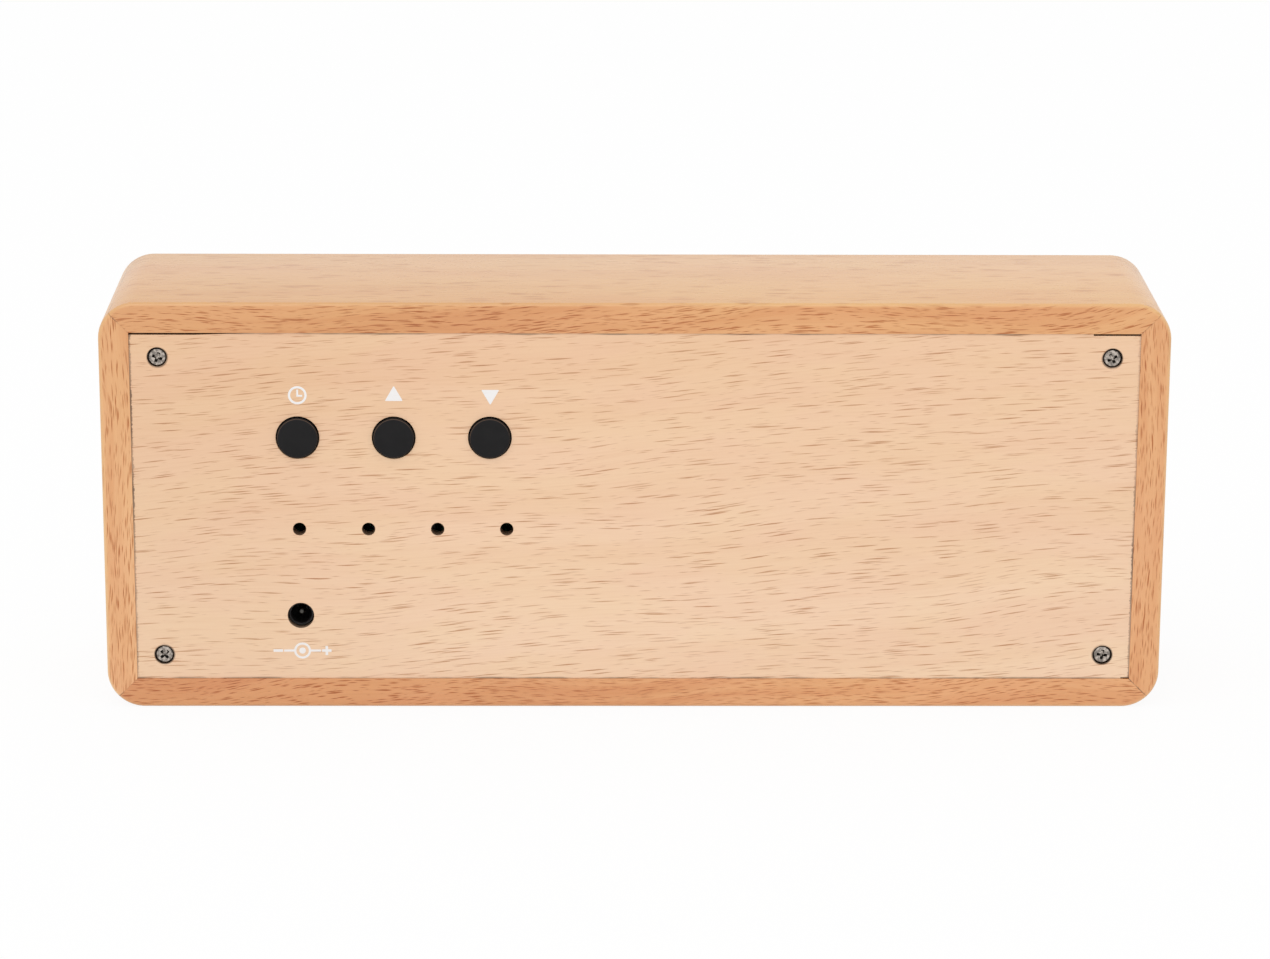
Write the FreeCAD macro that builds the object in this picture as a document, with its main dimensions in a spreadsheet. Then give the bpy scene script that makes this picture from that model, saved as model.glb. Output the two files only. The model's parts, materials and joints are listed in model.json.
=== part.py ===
import FreeCAD, Part
import math
import operator
import os

import Sketcher

# A binary clock in a mitred beech case.
# X runs along the width, Y through the depth (the display looks along -Y, the back panel along +Y)
# and Z is up. The origin is the centre of the underside. All lengths are in millimetres.
#
# Two working directions are used for everything between the panels:
#   a back piece is drawn as seen from behind: its x runs along -X, its y up, and its z along +Y;
#   a front piece is drawn as seen from the front: its x runs along +X, its y up, and its z along -Y.

SIZES = [
    # case
    ("case_width", "200", "outside width of the frame"),
    ("case_depth", "42", "depth of the frame's boards"),
    ("case_height", "79", "outside height of the frame"),
    ("wall_thickness", "5.7", "thickness of the frame's boards"),
    ("corner_radius", "7", "radius of the frame's outer corners"),
    ("edge_break", "0.4", "bevel along the frame's outer edges"),
    # panels
    ("panel_thickness", "3", "thickness of the front and back panels"),
    ("panel_gap", "0.2", "gap between a panel's edge and the frame"),
    ("panel_recess", "0.2", "how far a panel's face lies inside the frame's edge"),
    # corner blocks
    ("block_side", "10", "side of the square corner blocks"),
    ("block_chamfer", "3", "chamfer on each block's free edge"),
    # screws of the back panel
    ("panel_screw_inset_x", "5.2", "screw's axis from the frame's inner face, sideways"),
    ("panel_screw_inset_z", "4.7", "screw's axis from the frame's inner face, upwards"),
    ("panel_screw_diameter", "2", "shank of the back panel's screws"),
    ("panel_screw_length", "12", "length under the head"),
    ("panel_screw_head", "3.5", "diameter of the head"),
    ("panel_screw_head_height", "1", "height of the head"),
    ("panel_screw_clearance", "0.2", "gap round the shank in the panel"),
    ("sink_gap", "0.3", "gap round the head in its sunk hole"),
    ("sink_depth", "1.1", "depth of the sunk hole"),
    # push buttons
    ("button_inset", "31.1", "first button's axis from the frame's inner face"),
    ("button_pitch", "18", "distance between buttons"),
    ("button_height", "53.1", "buttons' axes above the underside"),
    ("button_diameter", "7.5", "diameter of a button's cap"),
    ("button_clearance", "0.325", "gap between a cap and its hole"),
    ("button_proud", "0.7", "how far a cap stands out of the panel"),
    ("button_edge_break", "0.3", "bevel round a cap's face"),
    ("button_flange_diameter", "9.5", "flange that keeps the cap behind the panel"),
    ("button_flange_thickness", "0.8", "thickness of the flange"),
    ("button_flange_gap", "0.4", "gap between the flange and the panel at rest"),
    # tactile switches
    ("switch_side", "6", "side of the square switch"),
    ("switch_base_height", "3", "height of the moulded base"),
    ("switch_height", "12", "board to the end of the plunger"),
    ("switch_cover_thickness", "0.3", "sheet thickness of the pressed cover"),
    ("switch_tab_width", "3", "width of the cover's side tabs"),
    ("switch_tab_length", "2", "how far a tab reaches down the base"),
    ("switch_well_side", "4.4", "square well for the dome and the plunger's foot"),
    ("switch_well_depth", "1.7", "depth of that well"),
    ("plunger_diameter", "3.5", "stem of the plunger"),
    ("plunger_clearance", "0.1", "gap between the stem and the cover's hole"),
    ("plunger_foot_side", "3.8", "square foot that keeps the plunger in"),
    ("plunger_foot_thickness", "0.85", "thickness of the foot"),
    ("plunger_foot_gap", "0.05", "gap between the foot and the cover at rest"),
    ("dome_length", "4.2", "snap dome, from foot to foot"),
    ("dome_crown", "1.6", "flat crown of the snap dome"),
    ("dome_width", "2.4", "width of the dome between its trimmed sides"),
    ("dome_height", "0.45", "height of the snap dome"),
    ("dome_thickness", "0.1", "sheet thickness of the snap dome"),
    ("terminal_width", "0.7", "width of a switch terminal"),
    ("terminal_thickness", "0.3", "sheet thickness of a switch terminal"),
    ("terminal_pitch", "4.5", "distance between terminals on one side"),
    ("terminal_rise", "1.2", "how far a terminal runs up the base's side"),
    # boards and what carries them
    ("pcb_thickness", "1.6", "thickness of both circuit boards"),
    ("pcb_corner_radius", "2", "rounding of the boards' corners"),
    ("pcb_hole_inset", "4", "screw's axis from the board's edges"),
    ("pcb_screw_diameter", "2", "shank of the boards' screws"),
    ("pcb_screw_head", "3.8", "head of the boards' screws"),
    ("pcb_screw_head_height", "1.3", "height of that head"),
    ("pcb_screw_clearance", "0.2", "gap round the shank in a board and a spacer"),
    ("pcb_screw_grip", "2", "how far a board screw goes into its panel"),
    ("spacer_across", "5.5", "hexagonal spacers, across corners"),
    ("lead_clearance", "0.1", "gap round a lead in its board"),
    ("lead_tail", "1.5", "how far a lead stands through its board"),
    ("control_spacer_length", "10", "back panel to control board"),
    ("control_board_inset", "16.3", "control board's edge from the frame's inner face"),
    ("control_board_z", "36.5", "middle of the control board above the underside"),
    ("control_board_width", "64", "width of the control board"),
    ("control_board_height", "54", "height of the control board"),
    ("display_spacer_length", "4.9", "front panel to display board"),
    ("display_board_width", "144", "width of the display board"),
    ("display_board_height", "58", "height of the display board"),
    # vents and sounder
    ("vent_inset", "31.2", "first vent from the frame's inner face"),
    ("vent_pitch", "13", "distance between vents"),
    ("vent_height", "35.25", "vents above the underside"),
    ("vent_diameter", "2.45", "diameter of a vent"),
    ("sounder_diameter", "12", "outside of the sounder"),
    ("sounder_height", "8.5", "height of the sounder"),
    ("sounder_wall", "0.8", "wall of the sounder's case"),
    ("sounder_hole", "2", "sound hole in its top"),
    ("sounder_base_thickness", "1.5", "thickness of its base"),
    # power jack
    ("jack_inset", "31.2", "jack's axis from the frame's inner face"),
    ("jack_z", "18.2", "jack's axis above the underside"),
    ("jack_side", "8", "side of the jack's square block"),
    ("jack_block_height", "8.5", "height of that block"),
    ("jack_block_chamfer", "0.8", "chamfer on its upright edges"),
    ("jack_nose_diameter", "4.7", "round nose that stands in the panel's hole"),
    ("jack_nose_gap", "0.15", "gap between the nose and the panel's hole"),
    ("jack_recess", "1.2", "nose's end from the panel's face"),
    ("jack_bore_diameter", "3.8", "bore for the plug"),
    ("jack_bore_depth", "10.5", "depth of the bore"),
    ("jack_pin_diameter", "1.3", "centre pin"),
    ("jack_pin_recess", "1.2", "pin's tip from the nose's end"),
    ("jack_tail_side", "0.8", "pin's square tail through the base and the board"),
    ("jack_contact_width", "1", "width of the contact spring"),
    ("jack_contact_thickness", "0.3", "sheet thickness of the contact spring"),
    ("jack_contact_height", "7.8", "top of the contact spring above the board"),
    ("jack_contact_bump", "0.2", "how far its bump reaches into the bore"),
    ("jack_slot_gap", "0.1", "gap beside the contact spring in its slot"),
    # microcontroller and clock chip
    ("chip_lead_width", "0.4", "width of a chip's lead"),
    ("chip_lead_thickness", "0.25", "sheet thickness of a chip's lead"),
    ("chip_lead_pitch", "1.27", "distance between a chip's leads"),
    ("chip_lead_reach", "1.4", "how far a lead reaches from the chip's side"),
    ("chip_lead_knee", "0.5", "where the lead turns down"),
    ("chip_lead_height", "1.2", "top of a lead above the board"),
    ("chip_standoff", "0.1", "gap between a chip and its board"),
    ("chip_bevel", "0.2", "bevel round a chip's top"),
    ("microcontroller_length", "10.3", "body of the microcontroller, along the leads"),
    ("microcontroller_width", "7.5", "body of the microcontroller, across"),
    ("microcontroller_height", "2.4", "top of the microcontroller above the board"),
    ("clock_chip_length", "4.9", "body of the clock chip, along the leads"),
    ("clock_chip_width", "3.9", "body of the clock chip, across"),
    ("clock_chip_height", "1.6", "top of the clock chip above the board"),
    ("microcontroller_aside", "8", "microcontroller from the control board's middle, sideways"),
    ("microcontroller_below", "17", "microcontroller below the control board's middle"),
    ("clock_chip_aside", "10", "clock chip from the control board's middle, sideways"),
    ("clock_chip_below", "8.5", "clock chip below the control board's middle"),
    # crystal and capacitor
    ("crystal_aside", "23", "crystal from the control board's middle, sideways"),
    ("crystal_below", "12.5", "crystal below the control board's middle"),
    ("crystal_length", "10.6", "crystal's can, long way"),
    ("crystal_width", "4.2", "crystal's can, short way"),
    ("crystal_height", "3.5", "height of the can"),
    ("capacitor_gap", "3.1", "gap between the capacitor's base and the jack"),
    ("capacitor_below", "16.5", "capacitor's axis below the control board's middle"),
    ("capacitor_diameter", "6.3", "capacitor's can"),
    ("capacitor_height", "7.7", "top of the can above the board"),
    ("capacitor_base_side", "6.6", "side of its square base"),
    ("capacitor_base_height", "0.8", "height of the base"),
    ("capacitor_cut_corner", "1.3", "corners cut off the base"),
    # coin cell
    ("cell_edge_gap", "5.5", "holder of the cell from the control board's edge"),
    ("cell_terminal_gap", "2.5", "holder of the cell below the switches' terminals"),
    ("cell_diameter", "20", "diameter of the cell"),
    ("cell_thickness", "3.2", "thickness of the cell"),
    ("cell_gap", "0.2", "gap round the cell in its holder"),
    ("holder_wall", "1.3", "thinnest wall of the holder"),
    ("holder_floor", "0.8", "floor of the holder"),
    ("strap_width", "5", "width of the contact strap"),
    ("strap_thickness", "0.3", "sheet thickness of the strap"),
    ("strap_foot", "1.8", "length of the strap's feet"),
    # ribbon cable and its connectors
    ("connector_length", "18", "outside length of a socket"),
    ("connector_width", "5.8", "outside width of a socket"),
    ("connector_height", "6", "height of a socket"),
    ("connector_wall", "0.7", "wall of a socket"),
    ("connector_floor", "1", "floor of a socket"),
    ("plug_clearance", "0.1", "gap between a plug and its socket"),
    ("plug_height", "8", "top of a plug above the board"),
    ("control_socket_inset", "6", "middle of the control board's socket from that board's edge"),
    ("ribbon_span", "32", "distance between the two sockets, sideways"),
    ("ribbon_width", "14", "width of the ribbon"),
    ("ribbon_thickness", "0.9", "thickness of the ribbon"),
    ("ribbon_lead_out", "1", "straight piece at each plug"),
    # display
    ("led_diameter", "5", "body of a lamp"),
    ("led_height", "8.6", "board to the lamp's tip"),
    ("led_tip_bevel", "1.3", "bevel round the lamp's tip"),
    ("led_clearance", "0.15", "gap between a lamp and its hole"),
    ("led_row_pitch", "13", "distance between rows"),
    ("led_digit_pitch", "24", "distance between the two digits of a pair"),
    ("led_pair_pitch", "76", "distance between the hours and the minutes"),
    ("led_lead_side", "0.5", "side of a lamp's square lead"),
    ("led_lead_pitch", "2.54", "distance between a lamp's leads"),
    ("resistor_length", "2", "length of a chip resistor"),
    ("resistor_width", "1.25", "width of a chip resistor"),
    ("resistor_height", "0.5", "height of a chip resistor"),
    ("resistor_drop", "4.5", "resistor below its lamp"),
]

BUTTONS = ("set", "up", "down")
VENTS = 4
ROWS = 4
# lamps in each column, from the left seen from the front: two digits of hours, two of minutes
COLUMN_LAMPS = (2, 4, 3, 4)
PAIRS = len(COLUMN_LAMPS) // 2
MICROCONTROLLER_LEAD_COUNT = 8
CLOCK_CHIP_LEAD_COUNT = 4

# Hidden or repeated round things are drawn with this many sides, which keeps their faces few.
SHANK_SIDES = 8
SPACER_SIDES = 6
HEAD_SIDES = 12
LAMP_SIDES = 12
FLANGE_SIDES = 12
GRIP_SIDES = 6
CAN_SIDES = 16
CELL_SIDES = 32

# Places nearer than this are the same place.
TOUCHING = 1e-6

OPERATIONS = {"+": operator.add, "-": operator.sub, "*": operator.mul, "/": operator.truediv}

doc = FreeCAD.newDocument("binary_clock")
sheet = doc.addObject("Spreadsheet::Sheet", "Sizes")


class Formula:
    """A length worked out from the sheet: its value now, and the expression that keeps it so."""

    def __init__(self, text, value):
        self.text = text
        self.value = value

    def __add__(self, other):
        return combine(self, "+", other)

    def __radd__(self, other):
        return combine(other, "+", self)

    def __sub__(self, other):
        return combine(self, "-", other)

    def __rsub__(self, other):
        return combine(other, "-", self)

    def __mul__(self, other):
        return combine(self, "*", other)

    def __rmul__(self, other):
        return combine(other, "*", self)

    def __truediv__(self, other):
        return combine(self, "/", other)

    def __neg__(self):
        return combine(0, "-", self)


def as_formula(number):
    if isinstance(number, Formula):
        return number
    return Formula(repr(number), number)


def combine(first, sign, second):
    first = as_formula(first)
    second = as_formula(second)
    return Formula(f"({first.text} {sign} {second.text})", OPERATIONS[sign](first.value, second.value))


class Dimensions:
    """Each size of the sheet under its own name."""


def fill_sheet():
    """Writes the driving sizes into the sheet and returns them by name."""
    for row, (name, number, meaning) in enumerate(SIZES, 1):
        sheet.set(f"A{row}", meaning)
        sheet.set(f"B{row}", number)
        sheet.setAlias(f"B{row}", name)
    doc.recompute()
    found = Dimensions()
    for name, _, _ in SIZES:
        setattr(found, name, Formula(f"Sizes.{name}", float(sheet.get(name))))
    return found


dim = fill_sheet()

# Faces of the stack, measured from the middle of the case towards the back.
back_face = dim.case_depth / 2 - dim.panel_recess
back_inner = back_face - dim.panel_thickness
control_face = back_inner - dim.control_spacer_length
control_under = control_face - dim.pcb_thickness

# The same faces towards the front.
front_face = dim.case_depth / 2 - dim.panel_recess
front_inner = front_face - dim.panel_thickness
display_face = front_inner - dim.display_spacer_length
display_under = display_face - dim.pcb_thickness

# Places that several pieces share.
inner_half_width = dim.case_width / 2 - dim.wall_thickness
panel_screw_x = inner_half_width - dim.panel_screw_inset_x
panel_screw_low = dim.wall_thickness + dim.panel_screw_inset_z
panel_screw_rise = dim.case_height - 2 * panel_screw_low
plunger_top = control_face + dim.switch_height
button_hole = dim.button_diameter + 2 * dim.button_clearance
jack_hole = dim.jack_nose_diameter + 2 * dim.jack_nose_gap
jack_nose_end = back_face - dim.jack_recess
jack_floor = jack_nose_end - dim.jack_bore_depth - control_face
lead_end = dim.pcb_thickness + dim.lead_tail
case_middle = dim.case_height / 2
button_first_x = inner_half_width - dim.button_inset
vent_first_x = inner_half_width - dim.vent_inset
jack_x = inner_half_width - dim.jack_inset
sounder_x = vent_first_x - (VENTS - 1) / 2 * dim.vent_pitch

# Places on the control board.
control_board_edge = inner_half_width - dim.control_board_inset
control_board_x = control_board_edge - dim.control_board_width / 2
microcontroller_x = control_board_x - dim.microcontroller_aside
microcontroller_z = dim.control_board_z - dim.microcontroller_below
clock_chip_x = control_board_x - dim.clock_chip_aside
clock_chip_z = dim.control_board_z - dim.clock_chip_below
crystal_x = control_board_x - dim.crystal_aside
crystal_z = dim.control_board_z - dim.crystal_below
capacitor_x = jack_x - dim.jack_side / 2 - dim.capacitor_gap - dim.capacitor_base_side / 2
capacitor_z = dim.control_board_z - dim.capacitor_below
holder_side = dim.cell_diameter + 2 * dim.cell_gap + 2 * dim.holder_wall
terminals_low = dim.button_height - dim.terminal_pitch / 2 - dim.terminal_width / 2
cell_x = control_board_edge - dim.cell_edge_gap - holder_side / 2
cell_z = terminals_low - dim.cell_terminal_gap - holder_side / 2
control_socket_x = control_board_edge - dim.control_board_width + dim.control_socket_inset
display_socket_x = control_socket_x - dim.ribbon_span

# Holes for screws.
panel_screw_hole = dim.panel_screw_diameter + 2 * dim.panel_screw_clearance
pcb_screw_hole = dim.pcb_screw_diameter + 2 * dim.pcb_screw_clearance
sqrt_half = math.sqrt(0.5)

BACKWARDS = FreeCAD.Rotation(FreeCAD.Vector(0, 1, 1), 180)
FORWARDS = FreeCAD.Rotation(FreeCAD.Vector(1, 0, 0), 90)
PLAIN = FreeCAD.Rotation()


# ---- helpers: bodies, sketches and features ----


def bind(thing, name, length):
    """Ties one property of an object to the sheet."""
    thing.setExpression(name, as_formula(length).text)


def new_body(name, rotation, x=0, y=0, z=0):
    body = doc.addObject("PartDesign::Body", name)
    body.Label = name
    body.Placement = FreeCAD.Placement(FreeCAD.Vector(), rotation)
    for axis, place in (("x", x), ("y", y), ("z", z)):
        bind(body, f"Placement.Base.{axis}", place)
    return body


def back_piece(name, level, x=0, z=0):
    """A piece seen from behind: level is its foot's distance from the middle, towards the back."""
    return new_body(name, BACKWARDS, x, level, z)


def front_piece(name, level, x=0, z=0):
    """A piece seen from the front: level is its foot's distance from the middle, towards the front."""
    return new_body(name, FORWARDS, x, -level, z)


def new_sketch(body, name, plane="XY_Plane", height=0):
    sketch = body.newObject("Sketcher::SketchObject", f"{body.Label}_{name}")
    support = [feature for feature in body.Origin.OriginFeatures if feature.Role == plane]
    sketch.AttachmentSupport = [(support[0], "")]
    sketch.MapMode = "FlatFace"
    bind(sketch, "AttachmentOffset.Base.z", height)
    return sketch


def constrain(sketch, length, kind, *points):
    """Adds one dimension and ties it to the sheet."""
    length = as_formula(length)
    row = sketch.addConstraint(Sketcher.Constraint(kind, *points, length.value))
    sketch.setExpression(f"Constraints[{row}]", length.text)


def pin(sketch, geometry, end, x, y):
    """Fixes a point by its distances from the sketch's origin."""
    constrain(sketch, x, "DistanceX", -1, 1, geometry, end)
    constrain(sketch, y, "DistanceY", -1, 1, geometry, end)


def circle(sketch, x, y, diameter):
    centre = FreeCAD.Vector(as_formula(x).value, as_formula(y).value, 0)
    radius = as_formula(diameter).value / 2
    geometry = sketch.addGeometry(Part.Circle(centre, FreeCAD.Vector(0, 0, 1), radius))
    pin(sketch, geometry, 3, x, y)
    constrain(sketch, diameter, "Diameter", geometry)


def arc_edge(sketch, start, end, radius, side):
    """An arc between two points that bends left (side 1) or right (side -1). It returns its ends in order."""
    size = as_formula(radius).value
    chord = end - start
    offset = math.sqrt(max(size**2 - (chord.Length / 2) ** 2, 0))
    left = FreeCAD.Vector(-chord.y, chord.x, 0).normalize()
    centre = (start + end) * 0.5 + left * (offset * side)
    first = math.atan2(start.y - centre.y, start.x - centre.x)
    last = math.atan2(end.y - centre.y, end.x - centre.x)
    ring = Part.Circle(centre, FreeCAD.Vector(0, 0, 1), size)
    if side > 0:
        geometry = sketch.addGeometry(Part.ArcOfCircle(ring, first, last))
        ends = (geometry, 1, 2)
    else:
        geometry = sketch.addGeometry(Part.ArcOfCircle(ring, last, first))
        ends = (geometry, 2, 1)
    return ends


def outline(sketch, points, arcs=None, closed=True):
    """Lines through the points in turn. arcs gives the radius and side of those edges that are round."""
    arcs = arcs or {}
    corners = [FreeCAD.Vector(as_formula(x).value, as_formula(y).value, 0) for x, y in points]
    count = len(points) if closed else len(points) - 1
    edges = []
    for index in range(count):
        start = corners[index]
        end = corners[(index + 1) % len(points)]
        if index in arcs:
            edges.append(arc_edge(sketch, start, end, *arcs[index]))
        else:
            edges.append((sketch.addGeometry(Part.LineSegment(start, end)), 1, 2))
    for index in range(len(points)):
        joined = index < count
        geometry, end, _ = edges[index] if joined else (edges[-1][0], edges[-1][2], None)
        pin(sketch, geometry, end, *points[index])
        if joined and (closed or index > 0):
            before = edges[index - 1]
            sketch.addConstraint(Sketcher.Constraint("Coincident", before[0], before[2], geometry, end))
    for index, (radius, _) in arcs.items():
        constrain(sketch, radius, "Radius", edges[index][0])


def rectangle(sketch, x, y, width, height):
    """A rectangle round its middle."""
    outline(
        sketch,
        [
            (x - width / 2, y - height / 2),
            (x + width / 2, y - height / 2),
            (x + width / 2, y + height / 2),
            (x - width / 2, y + height / 2),
        ],
    )


def few_sided(sketch, x, y, across, sides=SHANK_SIDES):
    """A regular outline inside a circle."""
    points = []
    for number in range(sides):
        turn = 2 * math.pi * (number + 0.5) / sides
        points.append((x + across / 2 * math.cos(turn), y + across / 2 * math.sin(turn)))
    outline(sketch, points)


def feature(body, kind, name, sketch):
    made = body.newObject(f"PartDesign::{kind}", f"{body.Label}_{name}")
    made.Profile = sketch
    return made


def pad(body, sketch, name, length, both_ways=False):
    made = feature(body, "Pad", name, sketch)
    bind(made, "Length", length)
    made.Midplane = both_ways
    doc.recompute()
    return made


def cut(body, sketch, name, depth=None, upwards=False):
    """Cuts a sketch down into the body, or upwards, and checks that something has gone."""
    before = body.Shape.Volume
    made = feature(body, "Pocket", name, sketch)
    made.Reversed = upwards
    if depth is None:
        made.Type = "ThroughAll"
    else:
        bind(made, "Length", depth)
    doc.recompute()
    if body.Shape.Volume >= before:
        raise ValueError(f"{made.Name} cuts nothing")
    return made


def revolve(body, name, points):
    """Turns an outline of radii and heights about the body's own z."""
    sketch = new_sketch(body, f"{name}_profile", "XZ_Plane")
    outline(sketch, points)
    made = feature(body, "Revolution", name, sketch)
    made.ReferenceAxis = (sketch, ["V_Axis"])
    made.Angle = 360
    doc.recompute()
    return made


def flat_edges(shape, height):
    """Names of the edges that lie wholly at one height of a body's own z."""
    names = []
    for number, edge in enumerate(shape.Edges, 1):
        box = edge.BoundBox
        if abs(box.ZMin - height) < TOUCHING and abs(box.ZMax - height) < TOUCHING:
            names.append(f"Edge{number}")
    return names


def upright_edges(shape):
    """Names of the straight edges along a body's own z."""
    names = []
    for number, edge in enumerate(shape.Edges, 1):
        box = edge.BoundBox
        if edge.Curve.TypeId == "Part::GeomLine" and box.XLength < TOUCHING and box.YLength < TOUCHING:
            names.append(f"Edge{number}")
    return names


def dress(body, kind, name, base, edges, size):
    """Rounds (Fillet) or bevels (Chamfer) the named edges of the last feature."""
    made = body.newObject(f"PartDesign::{kind}", f"{body.Label}_{name}")
    made.Base = (base, edges)
    bind(made, "Radius" if kind == "Fillet" else "Size", size)
    doc.recompute()
    return made


def row_of(body, name, originals, sketch, axis, length, count):
    """Repeats features along one axis of a sketch."""
    made = body.newObject("PartDesign::LinearPattern", f"{body.Label}_{name}")
    made.Originals = originals
    made.Direction = (sketch, [axis])
    bind(made, "Length", length)
    made.Occurrences = count
    body.Tip = made
    doc.recompute()
    return made


def four_of(body, originals, sketch, width, height):
    """Repeats features at the corners of a rectangle, to the right and upwards."""
    made = body.newObject("PartDesign::MultiTransform", f"{body.Label}_four")
    steps = []
    for axis, length in (("H_Axis", width), ("V_Axis", height)):
        step = doc.addObject("PartDesign::LinearPattern", f"{body.Label}_{axis}")
        step.Direction = (sketch, [axis])
        bind(step, "Length", length)
        step.Occurrences = 2
        steps.append(step)
    made.Originals = originals
    made.Transformations = steps
    body.Tip = made
    doc.recompute()


# ---- case ----


def frame_board(name, half_length, half_height, turn):
    """One mitred board, drawn as the upper one and turned about the middle of the case."""
    body = new_body(name, FreeCAD.Rotation(FreeCAD.Vector(0, 1, 0), turn), z=case_middle)
    mitre = dim.corner_radius * (1 - sqrt_half)
    straight = half_length - dim.corner_radius
    inner = half_length - dim.wall_thickness
    under = half_height - dim.wall_thickness
    sketch = new_sketch(body, "outline", "XZ_Plane")
    points = [
        (-inner, under),
        (inner, under),
        (half_length - mitre, half_height - mitre),
        (straight, half_height),
        (-straight, half_height),
        (mitre - half_length, half_height - mitre),
    ]
    round_corner = (dim.corner_radius, 1)
    outline(sketch, points, {2: round_corner, 4: round_corner})
    board = pad(body, sketch, "board", dim.case_depth, both_ways=True)
    outer = []
    for number, edge in enumerate(board.Shape.Edges, 1):
        middle = edge.BoundBox.Center
        at_face = abs(abs(middle.y) - dim.case_depth.value / 2) < TOUCHING
        mitre_edge = edge.Curve.TypeId == "Part::GeomLine" and abs(middle.x) > straight.value
        if at_face and middle.z > half_height.value - mitre.value and not mitre_edge:
            outer.append(f"Edge{number}")
    dress(body, "Chamfer", "outer_edges", board, outer, dim.edge_break)


def panel_blank(body):
    """The plain sheet of a panel, with its inner face at the body's foot."""
    sketch = new_sketch(body, "outline")
    width = dim.case_width - 2 * dim.wall_thickness - 2 * dim.panel_gap
    height = dim.case_height - 2 * dim.wall_thickness - 2 * dim.panel_gap
    rectangle(sketch, 0, case_middle, width, height)
    pad(body, sketch, "sheet", dim.panel_thickness)


def board_screws_at(x, z, width, height):
    """The four screw places of a board, as seen from the side that the board is drawn from."""
    half_width = width / 2 - dim.pcb_hole_inset
    half_height = height / 2 - dim.pcb_hole_inset
    return [(x + i * half_width, z + j * half_height) for i in (-1, 1) for j in (-1, 1)]


def control_screw_places():
    return board_screws_at(
        -control_board_x, dim.control_board_z, dim.control_board_width, dim.control_board_height
    )


def display_screw_places():
    return board_screws_at(0, case_middle, dim.display_board_width, dim.display_board_height)


def pilot_holes(body, places):
    """Blind holes in a panel's inner face for a board's screws."""
    sketch = new_sketch(body, "pilots")
    for x, y in places:
        few_sided(sketch, x, y, dim.pcb_screw_diameter)
    cut(body, sketch, "pilot_holes", dim.pcb_screw_grip, upwards=True)


def back_panel():
    body = back_piece("back_panel", back_inner)
    panel_blank(body)
    holes = new_sketch(body, "openings", height=dim.panel_thickness)
    for number in range(len(BUTTONS)):
        circle(holes, number * dim.button_pitch - button_first_x, dim.button_height, button_hole)
    for number in range(VENTS):
        circle(holes, number * dim.vent_pitch - vent_first_x, dim.vent_height, dim.vent_diameter)
    circle(holes, -jack_x, dim.jack_z, jack_hole)
    cut(body, holes, "through_holes")
    sinks = new_sketch(body, "sinks", height=dim.panel_thickness)
    shanks = new_sketch(body, "shanks", height=dim.panel_thickness)
    for side in (-1, 1):
        for height in (panel_screw_low, panel_screw_low + panel_screw_rise):
            circle(sinks, side * panel_screw_x, height, dim.panel_screw_head + 2 * dim.sink_gap)
            few_sided(shanks, side * panel_screw_x, height, panel_screw_hole)
    cut(body, sinks, "sunk_holes", dim.sink_depth)
    cut(body, shanks, "shank_holes")
    pilot_holes(body, control_screw_places())


def columns_by_lamps():
    """Each column's distance from the middle of the display, grouped by how many lamps it holds."""
    groups = {}
    for column, lamps in enumerate(COLUMN_LAMPS):
        pair, digit = divmod(column, 2)
        x = (pair - (PAIRS - 1) / 2) * dim.led_pair_pitch + (digit - 0.5) * dim.led_digit_pitch
        groups.setdefault(lamps, []).append(x)
    return groups


def at_each_lamp(body, name, draw, make, middle=0, height=0):
    """Makes a feature at the lowest lamp of each column and repeats it up the column."""
    lowest = middle - (ROWS - 1) / 2 * dim.led_row_pitch
    for lamps, columns in columns_by_lamps().items():
        sketch = new_sketch(body, f"{name}_{lamps}", height=height)
        for x in columns:
            draw(sketch, x, lowest)
        made = make(body, sketch, f"{name}_{lamps}_first")
        span = (lamps - 1) * dim.led_row_pitch
        row_of(body, f"{name}_{lamps}_column", [made], sketch, "V_Axis", span, lamps)


def front_panel():
    body = front_piece("front_panel", front_inner)
    panel_blank(body)

    def lamp_hole(sketch, x, y):
        circle(sketch, x, y, dim.led_diameter + 2 * dim.led_clearance)

    at_each_lamp(body, "lamp_holes", lamp_hole, cut, case_middle, dim.panel_thickness)
    pilot_holes(body, display_screw_places())


def corner_block(name, side, end):
    """A stick in one inner corner, from panel to panel: side 1 is the right from behind, end 1 the top."""
    body = back_piece(name, -front_inner)
    length = back_inner + front_inner
    x = side * inner_half_width
    z = case_middle + end * (case_middle - dim.wall_thickness)
    far_x = x - side * dim.block_side
    far_z = z - end * dim.block_side
    sketch = new_sketch(body, "outline")
    points = [
        (x, z),
        (far_x, z),
        (far_x, far_z + end * dim.block_chamfer),
        (far_x + side * dim.block_chamfer, far_z),
        (x, far_z),
    ]
    outline(sketch, points)
    pad(body, sketch, "stick", length)
    pilot = new_sketch(body, "pilot", height=length)
    screw_z = case_middle + end * panel_screw_rise / 2
    few_sided(pilot, side * panel_screw_x, screw_z, dim.panel_screw_diameter)
    depth = dim.panel_screw_length + dim.sink_depth - dim.panel_thickness
    cut(body, pilot, "pilot_hole", depth)


def panel_screws():
    """Four pan-head screws, sunk in the back panel and threaded into the corner blocks."""
    body = back_piece("back_panel_screws", back_face - dim.sink_depth, panel_screw_x, panel_screw_low)
    shank = new_sketch(body, "shank", height=-dim.panel_screw_length)
    few_sided(shank, 0, 0, dim.panel_screw_diameter)
    shank_pad = pad(body, shank, "shank_pad", dim.panel_screw_length)
    head = new_sketch(body, "head")
    few_sided(head, 0, 0, dim.panel_screw_head, HEAD_SIDES)
    head_pad = pad(body, head, "head_pad", dim.panel_screw_head_height)
    four_of(body, [shank_pad, head_pad], head, 2 * panel_screw_x, panel_screw_rise)


# ---- push buttons ----


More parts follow.
